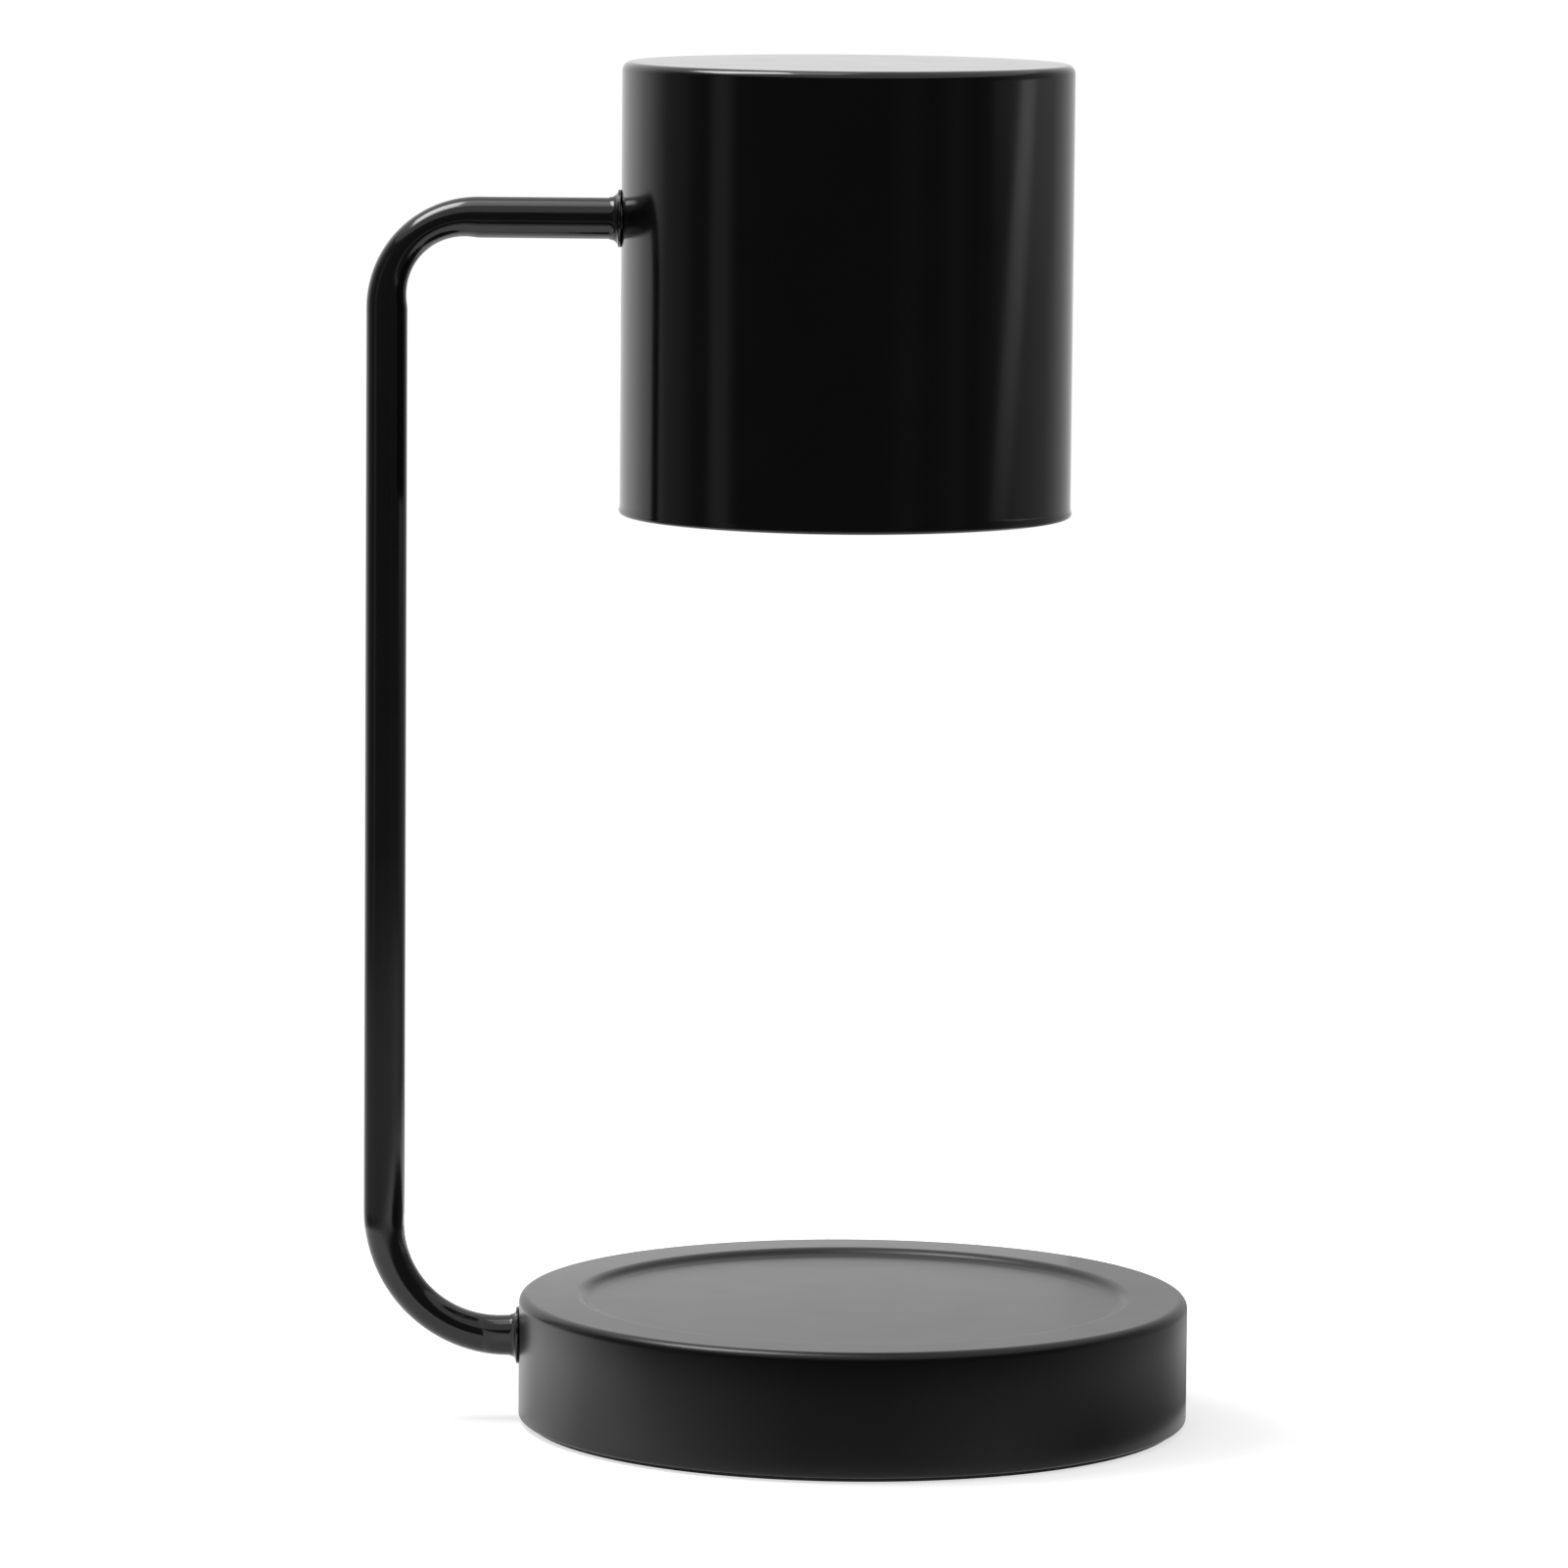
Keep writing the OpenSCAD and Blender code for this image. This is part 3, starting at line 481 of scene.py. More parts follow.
def turned(name, outline, closed=False, steps=TURN_STEPS, middle=(0, 0, 0), axis="Z"):
    """Turns an outline about an upright axis through middle, or about one that points to -X."""
    points = crisp(outline, closed)
    build = bmesh.new()
    rings = []
    for i in range(steps):
        turn = 2 * math.pi * i / steps
        rings.append([build.verts.new((r * MM * math.cos(turn), r * MM * math.sin(turn), z * MM))
                      for r, z in points])
    for i in range(steps):
        here, there = rings[i], rings[(i + 1) % steps]
        for j in range(len(points) if closed else len(points) - 1):
            k = (j + 1) % len(points)
            build.faces.new((here[j], there[j], there[k], here[k]))
    bmesh.ops.remove_doubles(build, verts=build.verts, dist=MERGE)
    tip = Matrix.Rotation(-math.pi / 2, 4, "Y") if axis == "-X" else Matrix.Identity(4)
    build.transform(Matrix.Translation(Vector(middle)) @ tip)
    return built(name, build)


def seal(piece):
    """Turns the faces outwards, shades them smooth, and says if a seam is open."""
    build = bmesh.new()
    build.from_mesh(piece.data)
    bmesh.ops.remove_doubles(build, verts=build.verts, dist=MERGE)
    bmesh.ops.recalc_face_normals(build, faces=build.faces)
    for face in build.faces:
        face.smooth = True
    open_edges = sum(1 for edge in build.edges if len(edge.link_faces) != 2)
    build.to_mesh(piece.data)
    build.free()
    piece.data.set_sharp_from_angle(angle=math.radians(SHARP_DEG))
    print(piece.name, "faces:", len(piece.data.polygons), "open edges:", open_edges)


# %% [markdown]
# Holes are cut, and bosses added, with plain round bars and exact booleans. Each
# boolean is baked into the mesh at once, so a finished piece carries no modifier.

# %% Cut and add
BAR_SIDES = 48


def bar(name, start, end, radius):
    """A plain round bar between two points, used as a tool that adds or cuts."""
    start, end = Vector(start), Vector(end)
    along = end - start
    place_bar = Matrix.Translation((start + end) / 2) @ along.to_track_quat("Z", "Y").to_matrix().to_4x4()
    build = bmesh.new()
    bmesh.ops.create_cone(build, cap_ends=True, segments=BAR_SIDES, radius1=radius, radius2=radius,
                          depth=along.length, matrix=place_bar)
    return built(name, build)


def bake(piece):
    """Replaces the mesh by what its modifiers make, and takes the modifiers off."""
    bpy.context.view_layer.update()
    depsgraph = bpy.context.evaluated_depsgraph_get()
    mesh = bpy.data.meshes.new_from_object(piece.evaluated_get(depsgraph), depsgraph=depsgraph)
    piece.modifiers.clear()
    piece.data = mesh


def carve(piece, tool, operation="DIFFERENCE"):
    """Cuts a tool out of a piece, or adds it, and deletes the tool."""
    boolean = piece.modifiers.new("carve", "BOOLEAN")
    boolean.operation = operation
    boolean.solver = "EXACT"
    boolean.object = tool
    bake(piece)
    bpy.data.objects.remove(tool)


# %% [markdown]
# A piece that is grown by a tree already has its materials, so none are named for
# it.

def finish_piece(piece, body, node, slot, *materials):
    """Gives a remade piece its finish, and says what it rides on and stands for."""
    if materials:
        piece.data.materials.clear()
    for material in materials:
        piece.data.materials.append(material)
    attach(piece, body)
    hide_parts(node)


# %% [markdown]
# The base has a level rim, a rounded shoulder, and a wide shallow recess that the
# candle stands in. The recess is pressed, so its edge is not a step with corners
# but a soft S of two equal arcs: that is what gives the ring its blurred grey look.
# Inside hang three bosses for the screws that hold the weight and the bottom plate.

# %% Outline of the base shell
BASE_WALL = 1.2
SHOULDER_R = 2.2
RECESS_R = 60.5
RECESS_RUN = 4.0
RECESS_DROP = 1.5
HEM_R = BASE_WALL / 2
PAD_PROUD = 1.0
CORNER_STEPS = 14

outer_r = base_r / MM
top_z = rim_z / MM
floor_z = top_z - RECESS_DROP
hem_z = PAD_PROUD + HEM_R
step_turn = math.degrees(2 * math.atan(RECESS_DROP / RECESS_RUN))
step_r = RECESS_RUN / 2 / math.sin(math.radians(step_turn))
foot_r = RECESS_R - RECESS_RUN / 2
crest_r = RECESS_R + RECESS_RUN / 2
corner_r = outer_r - SHOULDER_R
corner_z = top_z - SHOULDER_R
base_outline = (
    [(0, floor_z)]
    + arc(foot_r, floor_z + step_r, step_r, -90, -90 + step_turn)
    + arc(crest_r, top_z - step_r, step_r, 90 + step_turn, 90)
    + arc(corner_r, corner_z, SHOULDER_R, 90, 0, CORNER_STEPS)
    + arc(outer_r - HEM_R, hem_z, HEM_R, 0, -180)
    + arc(corner_r, corner_z, SHOULDER_R - BASE_WALL, 0, 90)
    + arc(crest_r, top_z - step_r, step_r - BASE_WALL, 90, 90 + step_turn)
    + arc(foot_r, floor_z + step_r, step_r + BASE_WALL, -90 + step_turn, -90)
    + [(0, floor_z - BASE_WALL)])
base_shell = turned("base_shell_pressed", base_outline)
print("recess step:", round(step_turn, 1), "degrees, radius", round(step_r, 2))

# %% [markdown]
# The bosses are added and bored from below, one for each screw on its circle. The
# rear wall gets the cord's hole and the left wall the tube's, each a hair wider
# than what passes through it.

# %% Bosses and holes of the base shell
THREAD_R = 4.0
HOLE_GAP = 0.1
GROMMET_NECK_R = 4.6
BOSS_R = 4.0 * MM
BOSS_BORE_R = 2.0 * MM
BOSS_BORE = 10.1 * MM
SCREW_CIRCLE_R = 48.0 * MM
SCREW_COUNT = 3
boss_z = weight_hi.z
boss_top_z = (floor_z - BASE_WALL / 2) * MM
for i in range(SCREW_COUNT):
    turn = 2 * math.pi * i / SCREW_COUNT
    boss_x, boss_y = SCREW_CIRCLE_R * math.cos(turn), SCREW_CIRCLE_R * math.sin(turn)
    carve(base_shell, bar("boss", (boss_x, boss_y, boss_z), (boss_x, boss_y, boss_top_z), BOSS_R), "UNION")
    carve(base_shell, bar("boss_bore", (boss_x, boss_y, boss_z - MM), (boss_x, boss_y, boss_z + BOSS_BORE),
                          BOSS_BORE_R))
wall_x = base_r - BASE_WALL * MM
cord_z = (grommet_lo.z + grommet_hi.z) / 2
carve(base_shell, bar("pole_hole", (-base_r - MM, 0, low_arm_z), (-wall_x + MM, 0, low_arm_z),
                      (THREAD_R + HOLE_GAP) * MM))
carve(base_shell, bar("cord_hole", (0, wall_x - MM, cord_z), (0, base_r + MM, cord_z), GROMMET_NECK_R * MM))
seal(base_shell)
finish_piece(base_shell, "frame", "base_shell", "black_coat", base_coat)

# %% [markdown]
# The shade is deep drawn from one disc, so its top and side are one skin with a
# small round corner, and the same thin wall all over. Its open rim swells out by a
# quarter of a millimetre and is dressed round, which stiffens it. Two arcs that meet
# without a kink make the swell, and the angle at which they meet follows from it.

# %% Shade shell
SHADE_WALL = 0.8
SHADE_CORNER_R = 2.0
SWELL_OUT = 0.25
HOLLOW_R = 4.0
LIP_R = 0.8
HOLLOW_STEPS = 6
LIP_STEPS = 16

drum_r = shade_r / MM
drum_lo_z = shade_lo.z / MM
drum_hi_z = shade_hi.z / MM
lip_r = drum_r + SWELL_OUT - LIP_R
lip_z = drum_lo_z + LIP_R
meet = math.acos(1 - SWELL_OUT / (HOLLOW_R + LIP_R))
meet_deg = math.degrees(meet)
hollow_z = lip_z + (HOLLOW_R + LIP_R) * math.sin(meet)
shade_outline = (
    [(0, drum_hi_z)]
    + arc(drum_r - SHADE_CORNER_R, drum_hi_z - SHADE_CORNER_R, SHADE_CORNER_R, 90, 0, CORNER_STEPS)
    + arc(drum_r + HOLLOW_R, hollow_z, HOLLOW_R, 180, 180 + meet_deg, HOLLOW_STEPS)
    + arc(lip_r, lip_z, LIP_R, meet_deg, -180, LIP_STEPS)[1:]
    + [(drum_r - SHADE_WALL, hollow_z)]
    + arc(drum_r - SHADE_CORNER_R, drum_hi_z - SHADE_CORNER_R, SHADE_CORNER_R - SHADE_WALL, 0, 90)
    + [(0, drum_hi_z - SHADE_WALL)])
shade_shell = turned("shade_shell_drawn", shade_outline, middle=(shade_x, 0, 0))
shade_wall_x = shade_x - shade_r
carve(shade_shell, bar("arm_hole", (shade_wall_x - MM, 0, top_arm_z), (shade_wall_x + 2 * MM, 0, top_arm_z),
                       (THREAD_R + HOLE_GAP) * MM))
seal(shade_shell)
finish_piece(shade_shell, "frame", "shade_shell", "black_coat", shade_coat)
print("rim's arcs meet at", round(meet_deg, 1), "degrees")

# %% [markdown]
# Where the tube meets the base and the shade, a small ferrule hides the hole. It is
# a thin round flange with a hollow cove that runs up to the tube. The cove is a
# quarter of a circle, cut short where it meets the flange's rim.

# %% Ferrules
FERRULE_R = 6.4
FERRULE_RIM = 0.6
FERRULE_NECK_R = tube_r / MM + 0.15
FERRULE_EDGE = 0.15
FERRULE_STEPS = 96
EDGE_STEPS = 4
COVE_FROM_DEG = -95


def ferrule(name, wall_x, height_z, length):
    """A ferrule that lies against a wall and points to -X."""
    cove = length - FERRULE_RIM
    overhang = min(1.0, max(-1.0, (FERRULE_R - FERRULE_NECK_R - cove) / cove))
    start = min(COVE_FROM_DEG, -math.degrees(math.acos(overhang)))
    outline = (
        [(THREAD_R + HOLE_GAP, 0)]
        + arc(FERRULE_R - FERRULE_EDGE, FERRULE_EDGE, FERRULE_EDGE, -90, 0, EDGE_STEPS)
        + arc(FERRULE_R - FERRULE_EDGE, FERRULE_RIM - FERRULE_EDGE, FERRULE_EDGE, 0, 90, EDGE_STEPS)
        + arc(FERRULE_NECK_R + cove, length, cove, start, -180)
        + [(THREAD_R + HOLE_GAP, length)])
    return turned(name, outline, True, FERRULE_STEPS, (wall_x, 0, height_z), "-X")


low_length = (low_collar_hi.x - low_collar_lo.x) / MM
top_length = (top_collar_hi.x - top_collar_lo.x) / MM
low_ferrule = ferrule("ferrule_base", low_collar_hi.x, low_arm_z, low_length)
top_ferrule = ferrule("ferrule_shade", top_collar_hi.x, top_arm_z, top_length)
for piece, node in ((low_ferrule, "pole_collar_base"), (top_ferrule, "pole_collar_top")):
    seal(piece)
    finish_piece(piece, "frame", node, "black_coat", tube_coat_painted_lighter)

# %% [markdown]
# ## The bent tube, by Geometry Nodes
# The tube follows one path with two bends, so it is made the way a bender makes it:
# a polyline of four corners gets its two corner radii, and a circle is swept along
# it. Steel tube doesn't keep its round section in a tight bend: the inner side is
# squeezed towards the outer one, more so in the tighter top bend. The tree does
# that too, by moving each point outwards by a share of how far it lies from the
# outer side. The helpers here open a tree with named inputs, close it with real
# geometry and a material, and run it to get a plain mesh.

# %% Open, close and run a tree
SOCKET_OF = {float: "NodeSocketFloat", int: "NodeSocketInt", tuple: "NodeSocketVector"}


def new_tree(name, sizes):
    """A geometry tree with one named input for each size. Returns the tree and the sizes' sockets."""
    tree = bpy.data.node_groups.new(name, "GeometryNodeTree")
    tree.interface.new_socket("Mesh", in_out="OUTPUT", socket_type="NodeSocketGeometry")
    for label, value in sizes.items():
        tree.interface.new_socket(label, in_out="INPUT", socket_type=SOCKET_OF[type(value)])
    return tree, step(tree, "NodeGroupInput").outputs


def close_tree(tree, mesh, material, second=None, where=None):
    """Ends a tree: real geometry, its material, and a second material on part of it."""
    last = step(tree, "GeometryNodeRealizeInstances", {"Geometry": mesh}).outputs["Geometry"]
    last = step(tree, "GeometryNodeSetMaterial", {"Geometry": last, "Material": material}).outputs["Geometry"]
    if second is not None:
        last = step(tree, "GeometryNodeSetMaterial",
                    {"Geometry": last, "Selection": where, "Material": second}).outputs["Geometry"]
    step(tree, "NodeGroupOutput", {"Mesh": last})


def grow(name, tree, sizes):
    """Runs a tree with the given sizes and keeps the mesh that it makes."""
    piece = put(name, bpy.data.meshes.new(name))
    modifier = piece.modifiers.new("grow", "NODES")
    modifier.node_group = tree
    for item in tree.interface.items_tree:
        if item.in_out == "INPUT":
            modifier[item.identifier] = sizes[item.name]
    bake(piece)
    return piece


# %% [markdown]
# Inside a tree, a value can depend on the number of the point that it belongs to,
# and vectors are put together from three numbers and combined by their own maths.

# %% Values and vectors
def by_index(tree, data_type, values):
    """A value that depends on the number of the point."""
    node = step(tree, "GeometryNodeIndexSwitch", data_type=data_type)
    while len(node.index_switch_items) < len(values):
        node.index_switch_items.new()
    fill(tree, node, {"Index": step(tree, "GeometryNodeInputIndex").outputs["Index"]})
    fill(tree, node, {str(i): value for i, value in enumerate(values)})
    return node.outputs["Output"]


def vector(tree, x, y, z):
    """A vector from three sockets or numbers."""
    return step(tree, "ShaderNodeCombineXYZ", {"X": x, "Y": y, "Z": z}).outputs["Vector"]


def vector_maths(tree, operation, a, b, result="Vector"):
    """One Vector Math node."""
    return step(tree, "ShaderNodeVectorMath", {0: a, 1: b}, operation=operation).outputs[result]


# %% [markdown]
# The tube and the filament are both made of lines, spirals and circles, of circles
# swept along them, and of meshes that are moved and joined. Each of these steps is
# one node, or two, so the helpers for them are short.

# %% Helpers for lines and sweeps
def circle(tree, radius, sides):
    """A circle that lies level."""
    return step(tree, "GeometryNodeCurvePrimitiveCircle",
                {"Radius": radius, "Resolution": sides}).outputs["Curve"]


def straight(tree, start, end):
    """A straight line between two spots."""
    return step(tree, "GeometryNodeCurvePrimitiveLine", {"Start": start, "End": end}).outputs["Curve"]


def spiral(tree, turns, radius, height, steps):
    """An upright spiral of even radius, with a number of steps to each turn."""
    return step(tree, "GeometryNodeCurveSpiral", {
        "Resolution": steps, "Rotations": turns, "Start Radius": radius,
        "End Radius": radius, "Height": height}).outputs["Curve"]


def swept(tree, curve, radius, sides, caps=False):
    """A circle swept along a curve."""
    return step(tree, "GeometryNodeCurveToMesh", {
        "Curve": curve, "Profile Curve": circle(tree, radius, sides), "Fill Caps": caps}).outputs["Mesh"]


def moved(tree, mesh, by, turn=(0, 0, 0)):
    """A mesh that is turned and then moved."""
    return step(tree, "GeometryNodeTransform",
                {"Geometry": mesh, "Translation": by, "Rotation": turn}).outputs["Geometry"]


def joined(tree, parts):
    """Several parts as one."""
    return step(tree, "GeometryNodeJoinGeometry", {"Geometry": parts}).outputs["Geometry"]


# %% [markdown]
# The tree's named inputs are the tube's sizes and the places that were read off the
# solids. Its path starts as a straight line of four points. Each point is then sent
# to a corner of the tube by its number, and the two corners in the middle are
# rounded by their own bend radii.

# %% The tube's sizes and path
BEND_STEPS = 28

tube_sizes = {
    "Tube radius": tube_r, "Bore radius": 2.9 * MM, "Thread root": 3.6 * MM, "Thread pitch": 1.0 * MM,
    "Thread height": 0.38 * MM, "Pole x": pole_x, "Low z": low_arm_z, "Top z": top_arm_z,
    "Low bend": 28.0 * MM, "Top bend": 20.2 * MM, "Low squeeze": 0.12, "Top squeeze": 0.175,
    "Low shoulder": low_shoulder_x, "Top shoulder": top_shoulder_x,
    "Low end": low_end_x, "Top end": top_end_x,
}
tree, size = new_tree("bent_tube", tube_sizes)
print("inputs of the tube's tree:", len(tube_sizes))


def route(low_x, top_x):
    """The tube's path between two ends, with its bends."""
    pole, low_z, top_z = (size[label] for label in ("Pole x", "Low z", "Top z"))
    path = ((low_x, low_z), (pole, low_z), (pole, top_z), (top_x, top_z))
    line = step(tree, "GeometryNodeCurvePrimitiveLine").outputs["Curve"]
    corners = step(tree, "GeometryNodeResampleCurve", {"Curve": line, "Count": len(path)}).outputs["Curve"]
    spots = by_index(tree, "VECTOR", [vector(tree, x, 0.0, z) for x, z in path])
    corners = step(tree, "GeometryNodeSetPosition", {"Geometry": corners, "Position": spots})
    bends = by_index(tree, "FLOAT", [0.0, size["Low bend"], size["Top bend"], 0.0])
    return step(tree, "GeometryNodeFilletCurve",
                {"Curve": corners.outputs["Geometry"], "Count": BEND_STEPS, "Radius": bends},
                mode="POLY").outputs["Curve"]


# %% [markdown]
# The sweep keeps, for each point of the skin, the spot on the path that it belongs
# to and the path's direction there. Outwards is square to that direction, in the
# plane of the bends. A direction that is neither level nor upright tells that the
# spot lies in a bend, and how deep in it, so the straight stretches stay round.

# %% Sweep and squeeze
TUBE_SIDES = 48


def squeezed_sweep(low_x, top_x, radius):
    """Sweeps a circle along the path and squeezes it in the bends."""
    keep = step(tree, "GeometryNodeCaptureAttribute", domain="POINT")
    keep.capture_items.new("VECTOR", "Spot")
    keep.capture_items.new("VECTOR", "Along")
    here = step(tree, "GeometryNodeInputPosition").outputs["Position"]
    tangent = step(tree, "GeometryNodeInputTangent").outputs["Tangent"]
    fill(tree, keep, {"Geometry": route(low_x, top_x), "Spot": here, "Along": tangent})
    skin = swept(tree, keep.outputs["Geometry"], radius, TUBE_SIDES)
    along = step(tree, "ShaderNodeSeparateXYZ", {"Vector": keep.outputs["Along"]}).outputs
    height = step(tree, "ShaderNodeSeparateXYZ", {"Vector": keep.outputs["Spot"]}).outputs["Z"]
    outwards = vector(tree, maths(tree, "MULTIPLY", along["Z"], -1.0), 0.0, along["X"])
    slant = maths(tree, "MULTIPLY", along["X"], along["Z"])
    turning = maths(tree, "ABSOLUTE", maths(tree, "MULTIPLY", slant, 2.0))
    squeeze = spread(tree, height, size["Low squeeze"], size["Top squeeze"], size["Low z"], size["Top z"])
    offset = vector_maths(tree, "SUBTRACT", here, keep.outputs["Spot"])
    reach = vector_maths(tree, "DOT_PRODUCT", offset, outwards, "Value")
    depth = maths(tree, "SUBTRACT", size["Tube radius"], reach)
    shift = maths(tree, "MULTIPLY", maths(tree, "MULTIPLY", depth, squeeze), turning)
    move = vector_maths(tree, "MULTIPLY", outwards, vector(tree, shift, shift, shift))
    return step(tree, "GeometryNodeSetPosition", {"Geometry": skin, "Offset": move}).outputs["Geometry"]


# %% [markdown]
# Each bare end is a thinner cylinder with a cut thread, whose ridge is a spiral with
# a small profile swept along it. Flat rings close the shoulder and the end's face.

# %% Bare ends
THREAD_SIDES = 4
FACING_X = (0, math.pi / 2, 0)


def ring_face(x, z, outer, inner):
    """A flat ring that closes the gap between two radii, square to X."""
    pair = joined(tree, [circle(tree, outer, TUBE_SIDES), circle(tree, inner, TUBE_SIDES)])
    face = step(tree, "GeometryNodeFillCurve", {"Curve": pair}).outputs["Mesh"]
    return moved(tree, face, vector(tree, x, 0.0, z), FACING_X)


def stub(shoulder, end, z):
    """The bare end of the tube: its root cylinder, closing rings and thread."""
    root_r = size["Thread root"]
    pitch = size["Thread pitch"]
    line = straight(tree, vector(tree, shoulder, 0.0, z), vector(tree, end, 0.0, z))
    root = swept(tree, line, root_r, TUBE_SIDES)
    length = maths(tree, "SUBTRACT", maths(tree, "SUBTRACT", end, shoulder), pitch)
    helix = spiral(tree, maths(tree, "DIVIDE", length, pitch), root_r, length, TUBE_SIDES)
    ridge = swept(tree, helix, size["Thread height"], THREAD_SIDES, caps=True)
    start = maths(tree, "ADD", shoulder, maths(tree, "MULTIPLY", pitch, 0.5))
    thread = moved(tree, ridge, vector(tree, start, 0.0, z), FACING_X)
    return [root, thread,
            ring_face(shoulder, z, size["Tube radius"], root_r),
            ring_face(end, z, root_r, size["Bore radius"])]


# %% [markdown]
# The outer skin, the bore and both ends are joined and their shared edges welded.
# The bare ends are marked on the way in, and get the zinc instead of the coat.

# %% Join the tube and grow it
WELD = 0.01 * MM

ends = (stub(size["Low shoulder"], size["Low end"], size["Low z"])
        + stub(size["Top shoulder"], size["Top end"], size["Top z"]))
is_bare = step(tree, "GeometryNodeCaptureAttribute", domain="FACE")
is_bare.capture_items.new("BOOLEAN", "Bare")
fill(tree, is_bare, {"Geometry": joined(tree, ends), "Bare": True})
whole = joined(tree, [
    squeezed_sweep(size["Low shoulder"], size["Top shoulder"], size["Tube radius"]),
    squeezed_sweep(size["Low end"], size["Top end"], size["Bore radius"]),
    is_bare.outputs["Geometry"]])
welded = step(tree, "GeometryNodeMergeByDistance", {"Geometry": whole, "Distance": WELD})
close_tree(tree, welded.outputs["Geometry"], tube_coat_painted_lighter, zinc, is_bare.outputs["Bare"])

tube = grow("bent_tube", tree, tube_sizes)
seal(tube)
finish_piece(tube, "frame", "pole_tube", "black_coat")

# %% [markdown]
# ## The bulb's mirror
# A reflector bulb has a pressed glass bowl whose inside is silvered in rows of
# small diamond facets, which break the filament's image into an even pool of light.
# Each row of corners is turned by half a step from the row below, and a diamond
# joins corners of three rows. The facets stay flat-shaded. The outside of the bowl
# is smooth and shows the back of the mirror as a dim, slightly violet glass.

# %% Section of the bowl
FACET_ROWS = 16
SMOOTH_ROWS = 20
GLASS_T = 1.3
LENS_T = 1.8
LENS_SEAT_R = 23.5
BULB_RIM_H = 3.5
BULB_LIP = 0.4
BULB_NECK_R = 12.0

lip_edge_r = (reflector_hi.x - shade_x) / MM
bowl_r = lip_edge_r - BULB_LIP
front_z = reflector_lo.z / MM
bowl_z = front_z + BULB_RIM_H
neck_z = reflector_hi.z / MM
bowl_h = neck_z - bowl_z
bowl_arc = ((bowl_r - BULB_NECK_R) ** 2 + bowl_h ** 2) / (2 * (bowl_r - BULB_NECK_R))
bowl_centre = bowl_r - bowl_arc


def bowl_sweep(radius):
    """The angle at which an arc of the bowl reaches the neck's height."""
    return math.degrees(math.asin(bowl_h / radius))


inner_arc = bowl_arc - GLASS_T
inner_rows = arc(bowl_centre, bowl_z, inner_arc, 0, bowl_sweep(inner_arc), FACET_ROWS)
smooth_rows = (
    arc(bowl_centre, bowl_z, bowl_arc, 0, bowl_sweep(bowl_arc), SMOOTH_ROWS)[::-1]
    + [(lip_edge_r, bowl_z), (lip_edge_r, front_z), (LENS_SEAT_R, front_z),
       (LENS_SEAT_R, front_z + LENS_T), (bowl_r - GLASS_T, front_z + LENS_T)])
print("radius of the bowl's arc:", round(bowl_arc, 1))

# %% [markdown]
# The facets, the smooth back and the seat of the lens are built as one closed skin.
# Two materials tell the silvered face from the glass.

# %% Faceted reflector
FACET_COUNT = 48
MIRROR_SHARP_DEG = 35


def ring_of(build, radius, z, shift=0.0):
    """One ring of corners round the bulb's axis."""
    return [build.verts.new((shade_x + radius * MM * math.cos(2 * math.pi * (j + shift) / FACET_COUNT),
                             radius * MM * math.sin(2 * math.pi * (j + shift) / FACET_COUNT), z * MM))
            for j in range(FACET_COUNT)]


build = bmesh.new()
corners = [ring_of(build, r, z, 0.5 * (i % 2)) for i, (r, z) in enumerate(inner_rows)]
walls = [ring_of(build, r, z) for r, z in smooth_rows]
facets = []
for j in range(FACET_COUNT):
    after = (j + 1) % FACET_COUNT
    facets.append(build.faces.new((corners[0][j], corners[0][after], corners[1][j])))
    facets.append(build.faces.new((corners[-1][after], corners[-1][j], corners[-2][j])))
    for i in range(FACET_ROWS - 1):
        side_a, side_b = (j - 1, j) if i % 2 == 0 else (j, after)
        facets.append(build.faces.new((corners[i][j], corners[i + 1][side_b], corners[i + 2][j],
                                       corners[i + 1][side_a])))
    chain = [corners[-1]] + walls + [corners[0]]
    for low, high in zip(chain, chain[1:]):
        build.faces.new((low[j], low[after], high[after], high[j])).material_index = 1
bmesh.ops.recalc_face_normals(build, faces=build.faces)
facet_set = set(facets)
for face in build.faces:
    face.smooth = face not in facet_set
print("mirror facets:", len(facets),
      "open edges:", sum(1 for edge in build.edges if len(edge.link_faces) != 2))
faceted_mirror = built("faceted_mirror", build)
faceted_mirror.data.set_sharp_from_angle(angle=math.radians(MIRROR_SHARP_DEG))
finish_piece(faceted_mirror, "bulb", "bulb_reflector", "reflector_glass", mirror, mirror_back)

# %% [markdown]
# ## The filament
# The filament is a long tungsten wire wound into a tight upright coil, held at both
# ends by two stout posts that come up through the pinch of the capsule. A spiral
# follows a rule, so a tree winds it. The posts and arms are short straight wires.

# %% Filament
COIL_R = 0.55 * MM
COIL_L = 6.0 * MM
WIRE_R = 0.12 * MM
COIL_TURNS = 16.0
POST_R = 0.3 * MM
ARM_R = 0.2 * MM
POST_X = 1.8 * MM
ARM_IN = 0.5 * MM
POST_OVER = 1.0 * MM
COIL_STEPS = 20
WIRE_SIDES = 6
POST_SIDES = 12

